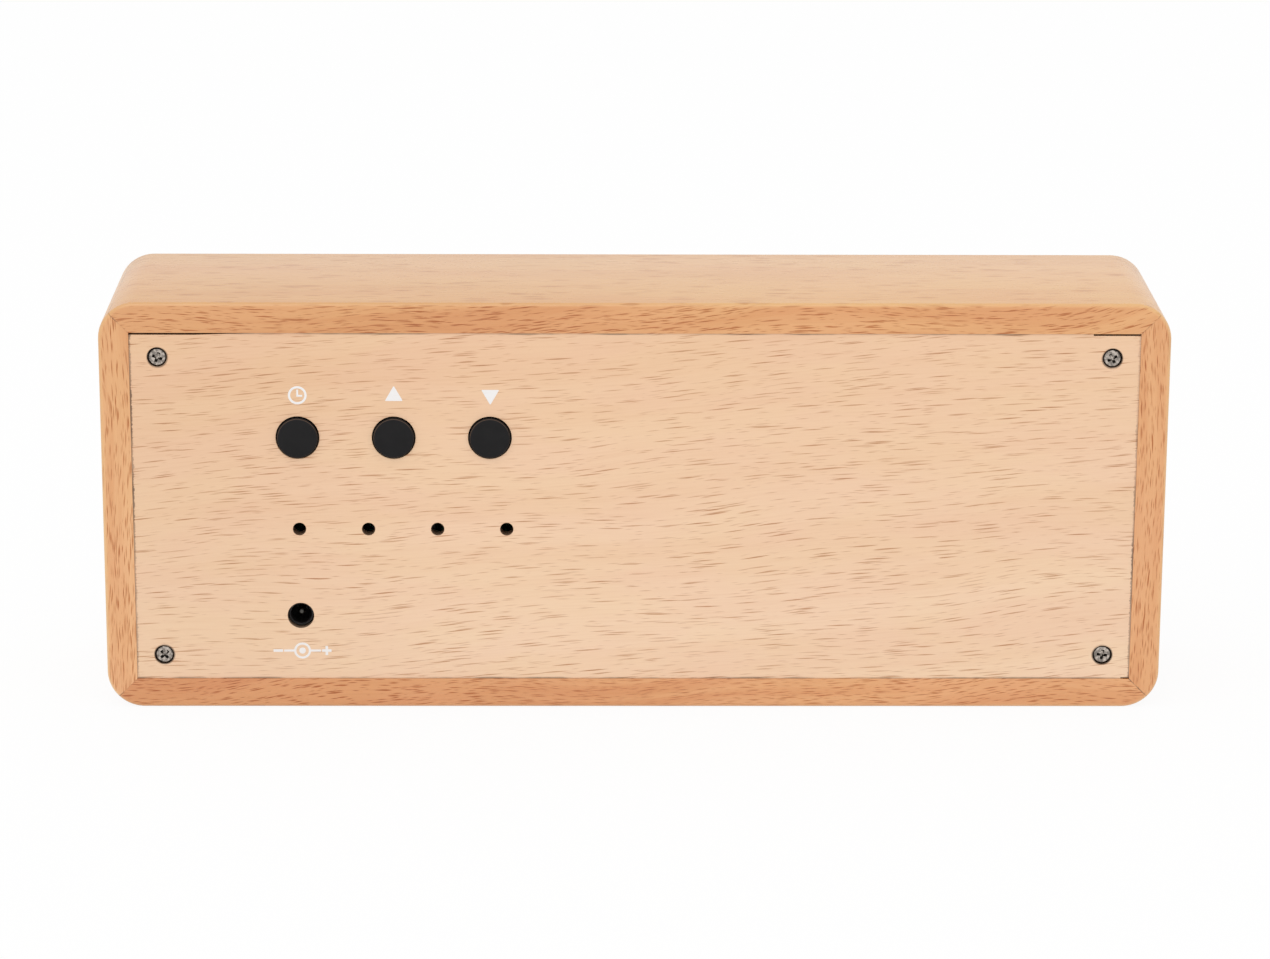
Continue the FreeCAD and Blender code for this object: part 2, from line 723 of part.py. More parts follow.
def button_cap(name, x):
    """A moulded cap: a round face in the panel, a flange behind it, and ribs that grip the plunger."""
    foot = back_inner - dim.button_flange_gap - dim.button_flange_thickness
    body = back_piece(f"{name}_button_cap", foot, x, dim.button_height)
    flange = new_sketch(body, "flange")
    few_sided(flange, 0, 0, dim.button_flange_diameter, FLANGE_SIDES)
    pad(body, flange, "flange_pad", dim.button_flange_thickness)
    face = new_sketch(body, "face", height=dim.button_flange_thickness)
    circle(face, 0, 0, dim.button_diameter)
    top = back_face + dim.button_proud - foot
    barrel = pad(body, face, "barrel", top - dim.button_flange_thickness)
    dress(body, "Chamfer", "face_edge", barrel, flat_edges(barrel.Shape, top.value), dim.button_edge_break)
    grip = new_sketch(body, "grip")
    few_sided(grip, 0, 0, dim.plunger_diameter / math.cos(math.pi / GRIP_SIDES), GRIP_SIDES)
    cut(body, grip, "plunger_bore", plunger_top - foot, upwards=True)


def switch_base(name, x):
    """The moulded base, with a well for the dome and the plunger's foot."""
    body = back_piece(f"{name}_switch_base", control_face, x, dim.button_height)
    sketch = new_sketch(body, "outline")
    rectangle(sketch, 0, 0, dim.switch_side, dim.switch_side)
    pad(body, sketch, "block", dim.switch_base_height)
    well = new_sketch(body, "well", height=dim.switch_base_height)
    rectangle(well, 0, 0, dim.switch_well_side, dim.switch_well_side)
    cut(body, well, "dome_well", dim.switch_well_depth)


def switch_cover(name, x):
    """The pressed steel cover: a plate with a hole for the stem, and a tab down two sides."""
    body = back_piece(f"{name}_switch_cover", control_face, x, dim.button_height)
    plate = new_sketch(body, "plate", height=dim.switch_base_height)
    rectangle(plate, 0, 0, dim.switch_side, dim.switch_side)
    circle(plate, 0, 0, dim.plunger_diameter + 2 * dim.plunger_clearance)
    pad(body, plate, "cover_plate", dim.switch_cover_thickness)
    tabs = new_sketch(body, "tabs", height=dim.switch_base_height - dim.switch_tab_length)
    for side in (-1, 1):
        y = side * (dim.switch_side + dim.switch_cover_thickness) / 2
        rectangle(tabs, 0, y, dim.switch_tab_width, dim.switch_cover_thickness)
    pad(body, tabs, "side_tabs", dim.switch_tab_length + dim.switch_cover_thickness)


def switch_plunger(name, x):
    """The round stem, kept under the cover by its square foot."""
    body = back_piece(f"{name}_switch_plunger", control_face, x, dim.button_height)
    foot_top = dim.switch_base_height - dim.plunger_foot_gap
    foot = new_sketch(body, "foot", height=foot_top - dim.plunger_foot_thickness)
    rectangle(foot, 0, 0, dim.plunger_foot_side, dim.plunger_foot_side)
    pad(body, foot, "foot_pad", dim.plunger_foot_thickness)
    stem = new_sketch(body, "stem", height=foot_top)
    circle(stem, 0, 0, dim.plunger_diameter)
    pad(body, stem, "stem_pad", dim.switch_height - foot_top)


def switch_domes():
    """The three snap domes that return the buttons, each on the floor of its switch's well."""
    floor = control_face + dim.switch_base_height - dim.switch_well_depth
    body = back_piece("switch_domes", floor, button_first_x, dim.button_height)
    foot = dim.dome_length / 2
    crown = dim.dome_crown / 2
    points = [
        (-foot, 0),
        (dim.dome_thickness - foot, 0),
        (-crown, dim.dome_height - dim.dome_thickness),
        (crown, dim.dome_height - dim.dome_thickness),
        (foot - dim.dome_thickness, 0),
        (foot, 0),
        (crown, dim.dome_height),
        (-crown, dim.dome_height),
    ]
    profile = new_sketch(body, "profile", "XZ_Plane")
    outline(profile, points)
    dome = pad(body, profile, "dome", dim.dome_width, both_ways=True)
    span = (len(BUTTONS) - 1) * dim.button_pitch
    row_of(body, "row", [dome], profile, "H_Axis", span, len(BUTTONS))


def terminal_places():
    half_x = (dim.switch_side + dim.terminal_thickness) / 2
    half_y = dim.terminal_pitch / 2
    return [(i * half_x, j * half_y) for i in (-1, 1) for j in (-1, 1)]


def switch_terminals():
    """Four tinned legs for each switch, up its sides and through the board."""
    body = back_piece("switch_terminals", control_face - lead_end, button_first_x, dim.button_height)
    sketch = new_sketch(body, "legs")
    for place in terminal_places():
        rectangle(sketch, *place, dim.terminal_thickness, dim.terminal_width)
    legs = pad(body, sketch, "leg", lead_end + dim.terminal_rise)
    span = (len(BUTTONS) - 1) * dim.button_pitch
    row_of(body, "row", [legs], sketch, "H_Axis", span, len(BUTTONS))


def push_buttons():
    for number, name in enumerate(BUTTONS):
        x = button_first_x - number * dim.button_pitch
        button_cap(name, x)
        switch_base(name, x)
        switch_cover(name, x)
        switch_plunger(name, x)
    switch_domes()
    switch_terminals()


# ---- circuit boards and what carries them ----


def board_blank(body, x, z, width, height, screw_places):
    """A board with rounded corners and its four screw holes."""
    sketch = new_sketch(body, "outline")
    rectangle(sketch, x, z, width, height)
    sheet_pad = pad(body, sketch, "board", dim.pcb_thickness)
    edges = upright_edges(sheet_pad.Shape)
    dress(body, "Fillet", "corners", sheet_pad, edges, dim.pcb_corner_radius)
    holes = new_sketch(body, "screw_holes", height=dim.pcb_thickness)
    for place in screw_places:
        few_sided(holes, *place, pcb_screw_hole)
    cut(body, holes, "screw_clearance")


def control_board():
    body = back_piece("control_board", control_under)
    board_blank(
        body,
        -control_board_x,
        dim.control_board_z,
        dim.control_board_width,
        dim.control_board_height,
        control_screw_places(),
    )
    gap = 2 * dim.lead_clearance
    jack = new_sketch(body, "jack_holes", height=dim.pcb_thickness)
    rectangle(jack, -jack_x, dim.jack_z, dim.jack_tail_side + gap, dim.jack_tail_side + gap)
    contact_x = contact_inner() + dim.jack_contact_thickness / 2
    width = dim.jack_contact_thickness + gap
    rectangle(jack, contact_x - jack_x, dim.jack_z, width, dim.jack_contact_width + gap)
    cut(body, jack, "jack_clearance")
    switch = new_sketch(body, "switch_holes", height=dim.pcb_thickness)
    width = dim.terminal_thickness + gap
    for x, y in terminal_places():
        rectangle(switch, x - button_first_x, y + dim.button_height, width, dim.terminal_width + gap)
    first = cut(body, switch, "switch_clearance")
    span = (len(BUTTONS) - 1) * dim.button_pitch
    row_of(body, "switch_row", [first], switch, "H_Axis", span, len(BUTTONS))


def spacers(body, length, width, height):
    """Four hexagonal spacers between a board and its panel."""
    sketch = new_sketch(body, "ring")
    few_sided(sketch, 0, 0, dim.spacer_across, SPACER_SIDES)
    few_sided(sketch, 0, 0, pcb_screw_hole)
    tube = pad(body, sketch, "tube", length)
    inset = 2 * dim.pcb_hole_inset
    four_of(body, [tube], sketch, width - inset, height - inset)


def board_screws(body, spacer_length, width, height):
    """Four screws through a board and its spacers into the panel, heads on the board's far side."""
    length = dim.pcb_thickness + spacer_length + dim.pcb_screw_grip
    head = new_sketch(body, "head", height=-dim.pcb_screw_head_height)
    few_sided(head, 0, 0, dim.pcb_screw_head)
    head_pad = pad(body, head, "head_pad", dim.pcb_screw_head_height)
    shank = new_sketch(body, "shank")
    few_sided(shank, 0, 0, dim.pcb_screw_diameter)
    shank_pad = pad(body, shank, "shank_pad", length)
    inset = 2 * dim.pcb_hole_inset
    four_of(body, [head_pad, shank_pad], shank, width - inset, height - inset)


def control_board_mounting():
    width = dim.control_board_width
    height = dim.control_board_height
    x = control_board_x + width / 2 - dim.pcb_hole_inset
    z = dim.control_board_z - height / 2 + dim.pcb_hole_inset
    spacers(back_piece("control_spacers", control_face, x, z), dim.control_spacer_length, width, height)
    screws = back_piece("control_board_screws", control_under, x, z)
    board_screws(screws, dim.control_spacer_length, width, height)


def display_board_mounting():
    width = dim.display_board_width
    height = dim.display_board_height
    x = dim.pcb_hole_inset - width / 2
    z = case_middle - height / 2 + dim.pcb_hole_inset
    spacers(front_piece("display_spacers", display_face, x, z), dim.display_spacer_length, width, height)
    screws = front_piece("display_board_screws", display_under, x, z)
    board_screws(screws, dim.display_spacer_length, width, height)


# ---- power jack ----


def contact_inner():
    """Distance of the contact spring's inner face from the jack's axis, just behind the bore's wall."""
    return dim.jack_bore_diameter / 2 + dim.jack_slot_gap


def power_jack_body():
    """A block on the board, with a round nose in the panel's hole and a bore for the plug."""
    body = back_piece("power_jack_body", control_face, jack_x, dim.jack_z)
    sketch = new_sketch(body, "outline")
    rectangle(sketch, 0, 0, dim.jack_side, dim.jack_side)
    block = pad(body, sketch, "block", dim.jack_block_height)
    dress(body, "Chamfer", "block_edges", block, upright_edges(block.Shape), dim.jack_block_chamfer)
    nose_length = jack_nose_end - control_face - dim.jack_block_height
    nose = new_sketch(body, "nose", height=dim.jack_block_height)
    circle(nose, 0, 0, dim.jack_nose_diameter)
    pad(body, nose, "nose_tube", nose_length)
    bore = new_sketch(body, "bore", height=jack_nose_end - control_face)
    circle(bore, 0, 0, dim.jack_bore_diameter)
    cut(body, bore, "plug_bore", dim.jack_bore_depth)
    tail = new_sketch(body, "tail")
    rectangle(tail, 0, 0, dim.jack_tail_side, dim.jack_tail_side)
    cut(body, tail, "tail_hole", jack_floor, upwards=True)
    slot = new_sketch(body, "slot")
    outer = contact_inner() + dim.jack_contact_thickness
    inner = dim.jack_tail_side
    slot_width = dim.jack_contact_width + 2 * dim.jack_slot_gap
    rectangle(slot, (inner + outer) / 2, 0, outer - inner, slot_width)
    cut(body, slot, "contact_slot", dim.jack_contact_height + dim.jack_slot_gap, upwards=True)


def power_jack_pin():
    """The turned centre pin: a bevelled tip, the contact length, and a square tail through the board."""
    body = back_piece("power_jack_pin", control_face, jack_x, dim.jack_z)
    radius = dim.jack_pin_diameter / 2
    tip = jack_nose_end - dim.jack_pin_recess - control_face
    points = [
        (0, jack_floor),
        (radius, jack_floor),
        (radius, tip - radius / 2),
        (radius / 2, tip),
        (0, tip),
    ]
    revolve(body, "pin", points)
    tail = new_sketch(body, "tail", height=-lead_end)
    rectangle(tail, 0, 0, dim.jack_tail_side, dim.jack_tail_side)
    pad(body, tail, "tail_pad", lead_end + jack_floor)


def power_jack_contact():
    """The contact spring: a strip behind the bore's wall, with a bump that meets the plug."""
    body = back_piece("power_jack_contact", control_face, jack_x, dim.jack_z)
    inner = contact_inner()
    outer = inner + dim.jack_contact_thickness
    bump = dim.jack_bore_diameter / 2 - dim.jack_contact_bump
    top = dim.jack_contact_height
    sketch = new_sketch(body, "profile", "XZ_Plane")
    points = [
        (inner, -lead_end),
        (outer, -lead_end),
        (outer, top),
        (inner, top),
        (inner, top * 0.8),
        (bump, top * 0.7),
        (inner, top * 0.6),
    ]
    outline(sketch, points)
    pad(body, sketch, "strip", dim.jack_contact_width, both_ways=True)


# ---- sounder ----


def sounder():
    """A round sounder behind the vents: a case with a sound hole, and the base that closes it."""
    inside = dim.sounder_diameter - 2 * dim.sounder_wall
    case = back_piece("sounder_case", control_face, sounder_x, dim.vent_height)
    outside = new_sketch(case, "outside")
    few_sided(outside, 0, 0, dim.sounder_diameter, CAN_SIDES)
    pad(case, outside, "can", dim.sounder_height)
    hollow = new_sketch(case, "hollow")
    few_sided(hollow, 0, 0, inside, CAN_SIDES)
    cut(case, hollow, "chamber", dim.sounder_height - dim.sounder_wall, upwards=True)
    hole = new_sketch(case, "hole", height=dim.sounder_height)
    few_sided(hole, 0, 0, dim.sounder_hole)
    cut(case, hole, "sound_hole", dim.sounder_wall)
    base = back_piece("sounder_base", control_face, sounder_x, dim.vent_height)
    sketch = new_sketch(base, "outline")
    few_sided(sketch, 0, 0, inside, CAN_SIDES)
    pad(base, sketch, "plate", dim.sounder_base_thickness)


# ---- chips and other parts on the boards ----


def chip(body, leads, length, width, height, lead_count):
    """A moulded chip, long side upright, and its two rows of bent leads."""
    sketch = new_sketch(body, "outline", height=dim.chip_standoff)
    rectangle(sketch, 0, 0, width, length)
    block = pad(body, sketch, "block", height - dim.chip_standoff)
    dress(body, "Chamfer", "bevel", block, flat_edges(block.Shape, height.value), dim.chip_bevel)

    profile = new_sketch(leads, "profile", "XZ_Plane")
    top = dim.chip_lead_height
    thickness = dim.chip_lead_thickness
    for side in (-1, 1):
        root = side * width / 2
        knee = root + side * dim.chip_lead_knee
        toe = root + side * dim.chip_lead_reach
        points = [
            (root, top),
            (root, top - thickness),
            (knee - side * thickness / 2, top - thickness),
            (knee - side * thickness / 2, 0),
            (toe, 0),
            (toe, thickness),
            (knee + side * thickness / 2, thickness),
            (knee + side * thickness / 2, top),
        ]
        outline(profile, points)
    bind(profile, "AttachmentOffset.Base.z", (lead_count - 1) * dim.chip_lead_pitch / 2)
    pair = pad(leads, profile, "pair", dim.chip_lead_width, both_ways=True)
    directions = new_sketch(leads, "directions")
    span = (lead_count - 1) * dim.chip_lead_pitch
    row_of(leads, "row", [pair], directions, "V_Axis", span, lead_count)


def microcontroller():
    body = back_piece("microcontroller_body", control_face, microcontroller_x, microcontroller_z)
    leads = back_piece("microcontroller_leads", control_face, microcontroller_x, microcontroller_z)
    length = dim.microcontroller_length
    width = dim.microcontroller_width
    chip(body, leads, length, width, dim.microcontroller_height, MICROCONTROLLER_LEAD_COUNT)


def clock_chip():
    body = front_piece("clock_chip_body", -control_under, clock_chip_x, clock_chip_z)
    leads = front_piece("clock_chip_leads", -control_under, clock_chip_x, clock_chip_z)
    length = dim.clock_chip_length
    chip(body, leads, length, dim.clock_chip_width, dim.clock_chip_height, CLOCK_CHIP_LEAD_COUNT)


def crystal():
    """A drawn can with round ends."""
    body = back_piece("crystal", control_face, crystal_x, crystal_z)
    can = new_sketch(body, "can")
    round_ended(can, dim.crystal_width, dim.crystal_length)
    pad(body, can, "drawn_can", dim.crystal_height)


def round_ended(sketch, width, length):
    """An upright shape with straight sides and two half-round ends, each of two arcs."""
    half = width / 2
    straight = (length - width) / 2
    top = length / 2
    points = [(half, -straight), (half, straight), (0, top), (-half, straight), (-half, -straight), (0, -top)]
    quarter = (half, 1)
    outline(sketch, points, {1: quarter, 2: quarter, 4: quarter, 5: quarter})


def capacitor():
    """A can on a square base with two cut corners."""
    base = back_piece("capacitor_base", control_face, capacitor_x, capacitor_z)
    plate = new_sketch(base, "outline")
    half = dim.capacitor_base_side / 2
    near = half - dim.capacitor_cut_corner
    points = [(-half, -half), (half, -half), (half, near), (near, half), (-near, half), (-half, near)]
    outline(plate, points)
    pad(base, plate, "plate", dim.capacitor_base_height)
    can = back_piece("capacitor_can", control_face, capacitor_x, capacitor_z)
    ring = new_sketch(can, "outline", height=dim.capacitor_base_height)
    few_sided(ring, 0, 0, dim.capacitor_diameter, CAN_SIDES)
    pad(can, ring, "can", dim.capacitor_height - dim.capacitor_base_height)


def coin_cell():
    """The back-up cell in its holder on the control board's front side, under a bent strap."""
    level = -control_under
    rim = dim.holder_floor + dim.cell_thickness
    holder = front_piece("coin_cell_holder", level, cell_x, cell_z)
    tray = new_sketch(holder, "outline")
    rectangle(tray, 0, 0, holder_side, holder_side)
    pad(holder, tray, "tray", rim)
    well = new_sketch(holder, "well", height=rim)
    rectangle(well, 0, 0, holder_side - 2 * dim.holder_wall, holder_side - 2 * dim.holder_wall)
    cut(holder, well, "cell_well", dim.cell_thickness)

    cell = front_piece("coin_cell", level, cell_x, cell_z)
    disc = new_sketch(cell, "outline", height=dim.holder_floor)
    few_sided(disc, 0, 0, dim.cell_diameter, CELL_SIDES)
    pad(cell, disc, "disc", dim.cell_thickness)

    strap = front_piece("cell_strap", level, cell_x, cell_z)
    inner = holder_side / 2
    outer = inner + dim.strap_thickness
    toe = inner + dim.strap_foot
    profile = new_sketch(strap, "profile", "XZ_Plane")
    points = [
        (inner, 0),
        (toe, 0),
        (toe, dim.strap_thickness),
        (outer, dim.strap_thickness),
        (outer, rim + dim.strap_thickness),
        (-outer, rim + dim.strap_thickness),
        (-outer, dim.strap_thickness),
        (-toe, dim.strap_thickness),
        (-toe, 0),
        (-inner, 0),
        (-inner, rim),
        (inner, rim),
    ]
    outline(profile, points)
    pad(strap, profile, "bent_strap", dim.strap_width, both_ways=True)


# ---- ribbon cable and its connectors ----


def connector(make, name, level, x):
    """A socket on a board and the plug in it."""
    socket = make(f"{name}_socket", level, x, dim.control_board_z)
    shell = new_sketch(socket, "outline")
    rectangle(shell, 0, 0, dim.connector_width, dim.connector_length)
    pad(socket, shell, "shell", dim.connector_height)
    inner_width = dim.connector_width - 2 * dim.connector_wall
    inner_length = dim.connector_length - 2 * dim.connector_wall
    cavity = new_sketch(socket, "cavity", height=dim.connector_height)
    rectangle(cavity, 0, 0, inner_width, inner_length)
    cut(socket, cavity, "plug_cavity", dim.connector_height - dim.connector_floor)
    plug = make(f"{name}_plug", level, x, dim.control_board_z)
    gap = 2 * dim.plug_clearance
    block = new_sketch(plug, "outline", height=dim.connector_floor)
    rectangle(block, 0, 0, inner_width - gap, inner_length - gap)
    pad(plug, block, "block", dim.plug_height - dim.connector_floor)


def ribbon_cable():
    """The flat cable from plug to plug: down, along, up through a double bend, along and down again."""
    start_y = control_under - dim.plug_height
    end_y = dim.plug_height - display_under
    body = new_body("ribbon_cable", PLAIN, control_socket_x, start_y, dim.control_board_z)
    lead = dim.ribbon_lead_out
    # The bends take half of the room between a plug and the board that it points at.
    bend = (control_under + display_under - dim.plug_height - lead) / 2
    end_x = display_socket_x - control_socket_x
    end_drop = end_y - start_y
    low = -lead - bend
    high = end_drop + lead + bend
    slope_rise = high - low - 2 * bend * (1 - sqrt_half)
    slope_low_x = end_x / 2 + slope_rise / 2
    slope_high_x = end_x / 2 - slope_rise / 2
    points = [
        (0, 0),
        (0, -lead),
        (-bend, low),
        (slope_low_x + bend * sqrt_half, low),
        (slope_low_x, low + bend * (1 - sqrt_half)),
        (slope_high_x, high - bend * (1 - sqrt_half)),
        (slope_high_x - bend * sqrt_half, high),
        (end_x + bend, high),
        (end_x, high - bend),
        (end_x, end_drop),
    ]
    path = new_sketch(body, "path")
    outline(path, points, {1: (bend, -1), 3: (bend, -1), 5: (bend, 1), 7: (bend, 1)}, closed=False)
    section = new_sketch(body, "section", "XZ_Plane")
    rectangle(section, 0, 0, dim.ribbon_thickness, dim.ribbon_width)
    ribbon = feature(body, "AdditivePipe", "ribbon", section)
    ribbon.Spine = path
    doc.recompute()
    length = sum(edge.Length for edge in path.Shape.Edges)
    expected = length * dim.ribbon_thickness.value * dim.ribbon_width.value
    if abs(body.Shape.Volume / expected - 1) > 0.01:
        raise ValueError("the ribbon's volume isn't its section times its length")


# ---- display ----


def lead_pair(sketch, x, y, side):
    """Both square leads of a lamp, or their holes."""
    for end in (-1, 1):
        rectangle(sketch, x + end * dim.led_lead_pitch / 2, y, side, side)


def display_board():
    body = front_piece("display_board", display_under)
    board_blank(
        body,
        0,
        case_middle,
        dim.display_board_width,
        dim.display_board_height,
        display_screw_places(),
    )

    def lead_holes(sketch, x, y):
        lead_pair(sketch, x, y, dim.led_lead_side + 2 * dim.lead_clearance)

    at_each_lamp(body, "lead_holes", lead_holes, cut, case_middle, dim.pcb_thickness)


def lamps():
    """The lamps' moulded lenses, from the board into the panel's holes, with a bevelled tip."""
    body = front_piece("led_lenses", display_face, z=case_middle)

    def section(sketch, x, y):
        few_sided(sketch, x, y, dim.led_diameter, LAMP_SIDES)

    def barrel(owner, sketch, name):
        return pad(owner, sketch, name, dim.led_height)

    at_each_lamp(body, "barrel", section, barrel)
    columns = body.Tip
    tips = flat_edges(columns.Shape, dim.led_height.value)
    dress(body, "Chamfer", "tips", columns, tips, dim.led_tip_bevel)


def lamp_leads():
    body = front_piece("led_leads", display_face - lead_end, z=case_middle)

    def leads(sketch, x, y):
        lead_pair(sketch, x, y, dim.led_lead_side)

    def leads_pad(owner, sketch, name):
        return pad(owner, sketch, name, lead_end)

    at_each_lamp(body, "lead", leads, leads_pad)


def lamp_resistors():
    """One chip resistor below each lamp, on the display board's rear side."""
    body = back_piece("led_resistors", -display_under, z=case_middle)

    def resistor(sketch, x, y):
        rectangle(sketch, -x, y - dim.resistor_drop, dim.resistor_length, dim.resistor_width)

    def resistor_pad(owner, sketch, name):
        return pad(owner, sketch, name, dim.resistor_height)

    at_each_lamp(body, "resistor", resistor, resistor_pad)


# ---- the clock ----


def build():
    half_width = dim.case_width / 2
    frame_board("frame_top", half_width, case_middle, 0)
    frame_board("frame_right", case_middle, half_width, 90)
    frame_board("frame_bottom", half_width, case_middle, 180)
    frame_board("frame_left", case_middle, half_width, 270)
    back_panel()
    front_panel()
    for side, side_name in ((-1, "right"), (1, "left")):
        for end, end_name in ((-1, "bottom"), (1, "top")):
            corner_block(f"corner_block_{end_name}_{side_name}", side, end)
    panel_screws()
    push_buttons()
    control_board()
    control_board_mounting()
    power_jack_body()
    power_jack_pin()
    power_jack_contact()
    sounder()
    microcontroller()
    clock_chip()
    crystal()
    capacitor()
    coin_cell()
    connector(front_piece, "control", -control_under, control_socket_x)
    connector(back_piece, "display", -display_under, display_socket_x)
    ribbon_cable()
    display_board()
    display_board_mounting()
    lamps()
    lamp_leads()
    lamp_resistors()


def check_document():
    """Stops if any object has failed or any piece's shape isn't sound."""
    doc.recompute()
    for item in doc.Objects:
        if "Invalid" in item.State or "Error" in item.State:
            raise ValueError(f"{item.Name} has failed: {item.State}")
        if item.TypeId == "Sketcher::SketchObject" and item.GeometryCount and not item.FullyConstrained:
            raise ValueError(f"{item.Name} isn't fully constrained")


def export_pieces():
    os.makedirs("parts", exist_ok=True)
    for body in doc.findObjects("PartDesign::Body"):
        shape = body.Shape
        if shape.isNull() or not shape.isValid() or not shape.Solids:
            raise ValueError(f"{body.Label} has no sound shape")
        shape.exportStep(f"parts/{body.Label}.step")


build()
check_document()
export_pieces()
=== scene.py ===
import json
import math
from contextlib import contextmanager

import bpy
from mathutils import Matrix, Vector


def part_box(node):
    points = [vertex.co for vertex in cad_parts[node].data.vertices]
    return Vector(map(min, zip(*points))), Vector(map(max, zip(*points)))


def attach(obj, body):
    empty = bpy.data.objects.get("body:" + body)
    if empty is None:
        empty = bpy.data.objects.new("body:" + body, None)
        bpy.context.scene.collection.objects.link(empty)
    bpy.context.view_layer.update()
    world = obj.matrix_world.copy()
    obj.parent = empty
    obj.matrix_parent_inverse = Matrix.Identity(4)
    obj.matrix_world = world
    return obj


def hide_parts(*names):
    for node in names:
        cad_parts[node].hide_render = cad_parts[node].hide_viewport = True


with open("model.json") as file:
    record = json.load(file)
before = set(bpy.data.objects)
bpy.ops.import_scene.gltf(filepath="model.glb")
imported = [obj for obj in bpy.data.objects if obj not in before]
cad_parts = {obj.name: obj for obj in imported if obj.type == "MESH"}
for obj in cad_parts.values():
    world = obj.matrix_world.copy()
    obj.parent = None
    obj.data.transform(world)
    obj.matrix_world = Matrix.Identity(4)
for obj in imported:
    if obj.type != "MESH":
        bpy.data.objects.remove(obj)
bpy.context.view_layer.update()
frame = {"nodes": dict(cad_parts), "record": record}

bl_info = {
    "name": "Binary clock",
    "version": (1, 0, 0),
    "blender": (4, 5, 0),
    "location": "3D View > Sidebar > Clock",
    "description": "Dresses a binary clock: mitred beech case, screwed back panel, buttons, jack and lamps",
    "category": "Add Mesh",
}

MM = 0.001
CASE_LOW = Vector((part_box("frame_left")[0].x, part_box("frame_top")[0].y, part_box("frame_bottom")[0].z))
CASE_HIGH = Vector((-CASE_LOW.x, -CASE_LOW.y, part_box("frame_top")[1].z))
CASE_MIDDLE_Z = (CASE_LOW.z + CASE_HIGH.z) / 2
BACK_LOW, BACK_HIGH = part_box("back_panel")
FRONT_LOW, FRONT_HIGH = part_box("front_panel")
BACK_FACE = BACK_HIGH.y
FRONT_FACE = FRONT_LOW.y
FLAT_ANGLE = math.radians(30)
SAME_POINT = 0.000001
SAW_THRESHOLD = 0.0000001
BUTTONS = ("set", "up", "down")
SEEING_RAYS = ("Camera", "Glossy", "Transmission")

# Half sizes in millimetres, for patterns that are measured from the middle of the case.
MIDDLE_Z = CASE_MIDDLE_Z / MM
CASE_HALF_WIDTH = CASE_HIGH.x / MM
CASE_HALF_HEIGHT = (CASE_HIGH.z - CASE_LOW.z) / 2 / MM
PANEL_HALF_WIDTH = BACK_HIGH.x / MM
PANEL_HALF_HEIGHT = (BACK_HIGH.z - BACK_LOW.z) / 2 / MM

# Places and radii in millimetres. The first sound hole and the jack are on one upright line.
FIRST_HOLE_X = 63.1
SOUND_PITCH = 13
SOUND_Z = 35.25
JACK_Z = 18.2
SCREW_X = 89.1
SCREW_ROWS = (10.4, 68.6)
BUTTON_HOLE = 4.075
SOUND_HOLE = 1.25
JACK_HOLE = 2.5
SCREW_HOLE = 1.2
HEAD_RADIUS = 1.75
SEAT_DEPTH = 1.1
LAMP_HOLE = 2.65
WIRE_PITCH = 1.27
# The lamps' grid: two columns on each side, and the lowest row with the pitch of the others.
LAMP_COLUMNS_MIDDLE = 38.0
LAMP_COLUMNS_APART = 24.0
LAMP_LOW = 20.0
LAMP_PITCH = 13.0
# Where the back panel stops short of the frame: low and high x, low and high z. The first place tapers away.
PANEL_SLOTS = (
    (70, 82, 72.88, 74.3),
    (81.9, 98, 72.88, 74.3),
    (-98, -85.4, 72.9, 74.3),
    (-98, -92.7, 4.7, 5.95),
)
# The printed marks' middles: x and z.
MARKS = {"set": (63.1, 61.3), "up": (45.1, 61.2), "down": (27.1, 61.4), "polarity": (62.9, 11.25)}

# How each board's tone differs from the frame's own: first at its +X or top end, then at the other end.
TONES = {
    "top": ((1.02, 1.09, 1.09), (1.10, 1.22, 1.26)),
    "bottom": ((1.01, 1.01, 1.04), (1.14, 1.29, 1.44)),
    "left": ((1.12, 1.25, 1.37), (1.11, 1.20, 1.31)),
    "right": ((1.08, 1.21, 1.28), (1.21, 1.51, 1.83)),
}
# Ray flecks, large and small. Each row has a cell's length, depth and thickness in millimetres, a fleck's
# reach in its cell, and the share of cells that hold one. The panels' small flecks are weaker.
PANEL_FLECKS = (((9.6, 1.05, 0.38), 0.38, 0.93), ((6.0, 0.75, 0.29), 0.38, 0.90))
BOARD_FLECKS = (((5.4, 1.7, 0.33), 0.49, 0.97), ((4.0, 1.2, 0.29), 0.48, 0.93))
SMALL_STRENGTH = 0.70


# ---- sizes and colours ----


def length(name, meaning, millimetres, low=0.0, high=300.0):
    """A size in metres that is written in millimetres."""
    return bpy.props.FloatProperty(
        name=name,
        description=meaning,
        default=millimetres * MM,
        min=low * MM,
        max=high * MM,
        precision=5,
        subtype="DISTANCE",
        unit="LENGTH",
    )


def colour(name, meaning, red, green, blue):
    return bpy.props.FloatVectorProperty(
        name=name, description=meaning, default=(red, green, blue), size=3, min=0.0, max=1.0, subtype="COLOR"
    )


def share(name, meaning, default):
    return bpy.props.FloatProperty(
        name=name, description=meaning, default=default, min=0.0, max=1.0, subtype="FACTOR"
    )


def angle(name, meaning, degrees):
    return bpy.props.FloatProperty(
        name=name, description=meaning, default=math.radians(degrees), subtype="ANGLE", unit="ROTATION"
    )


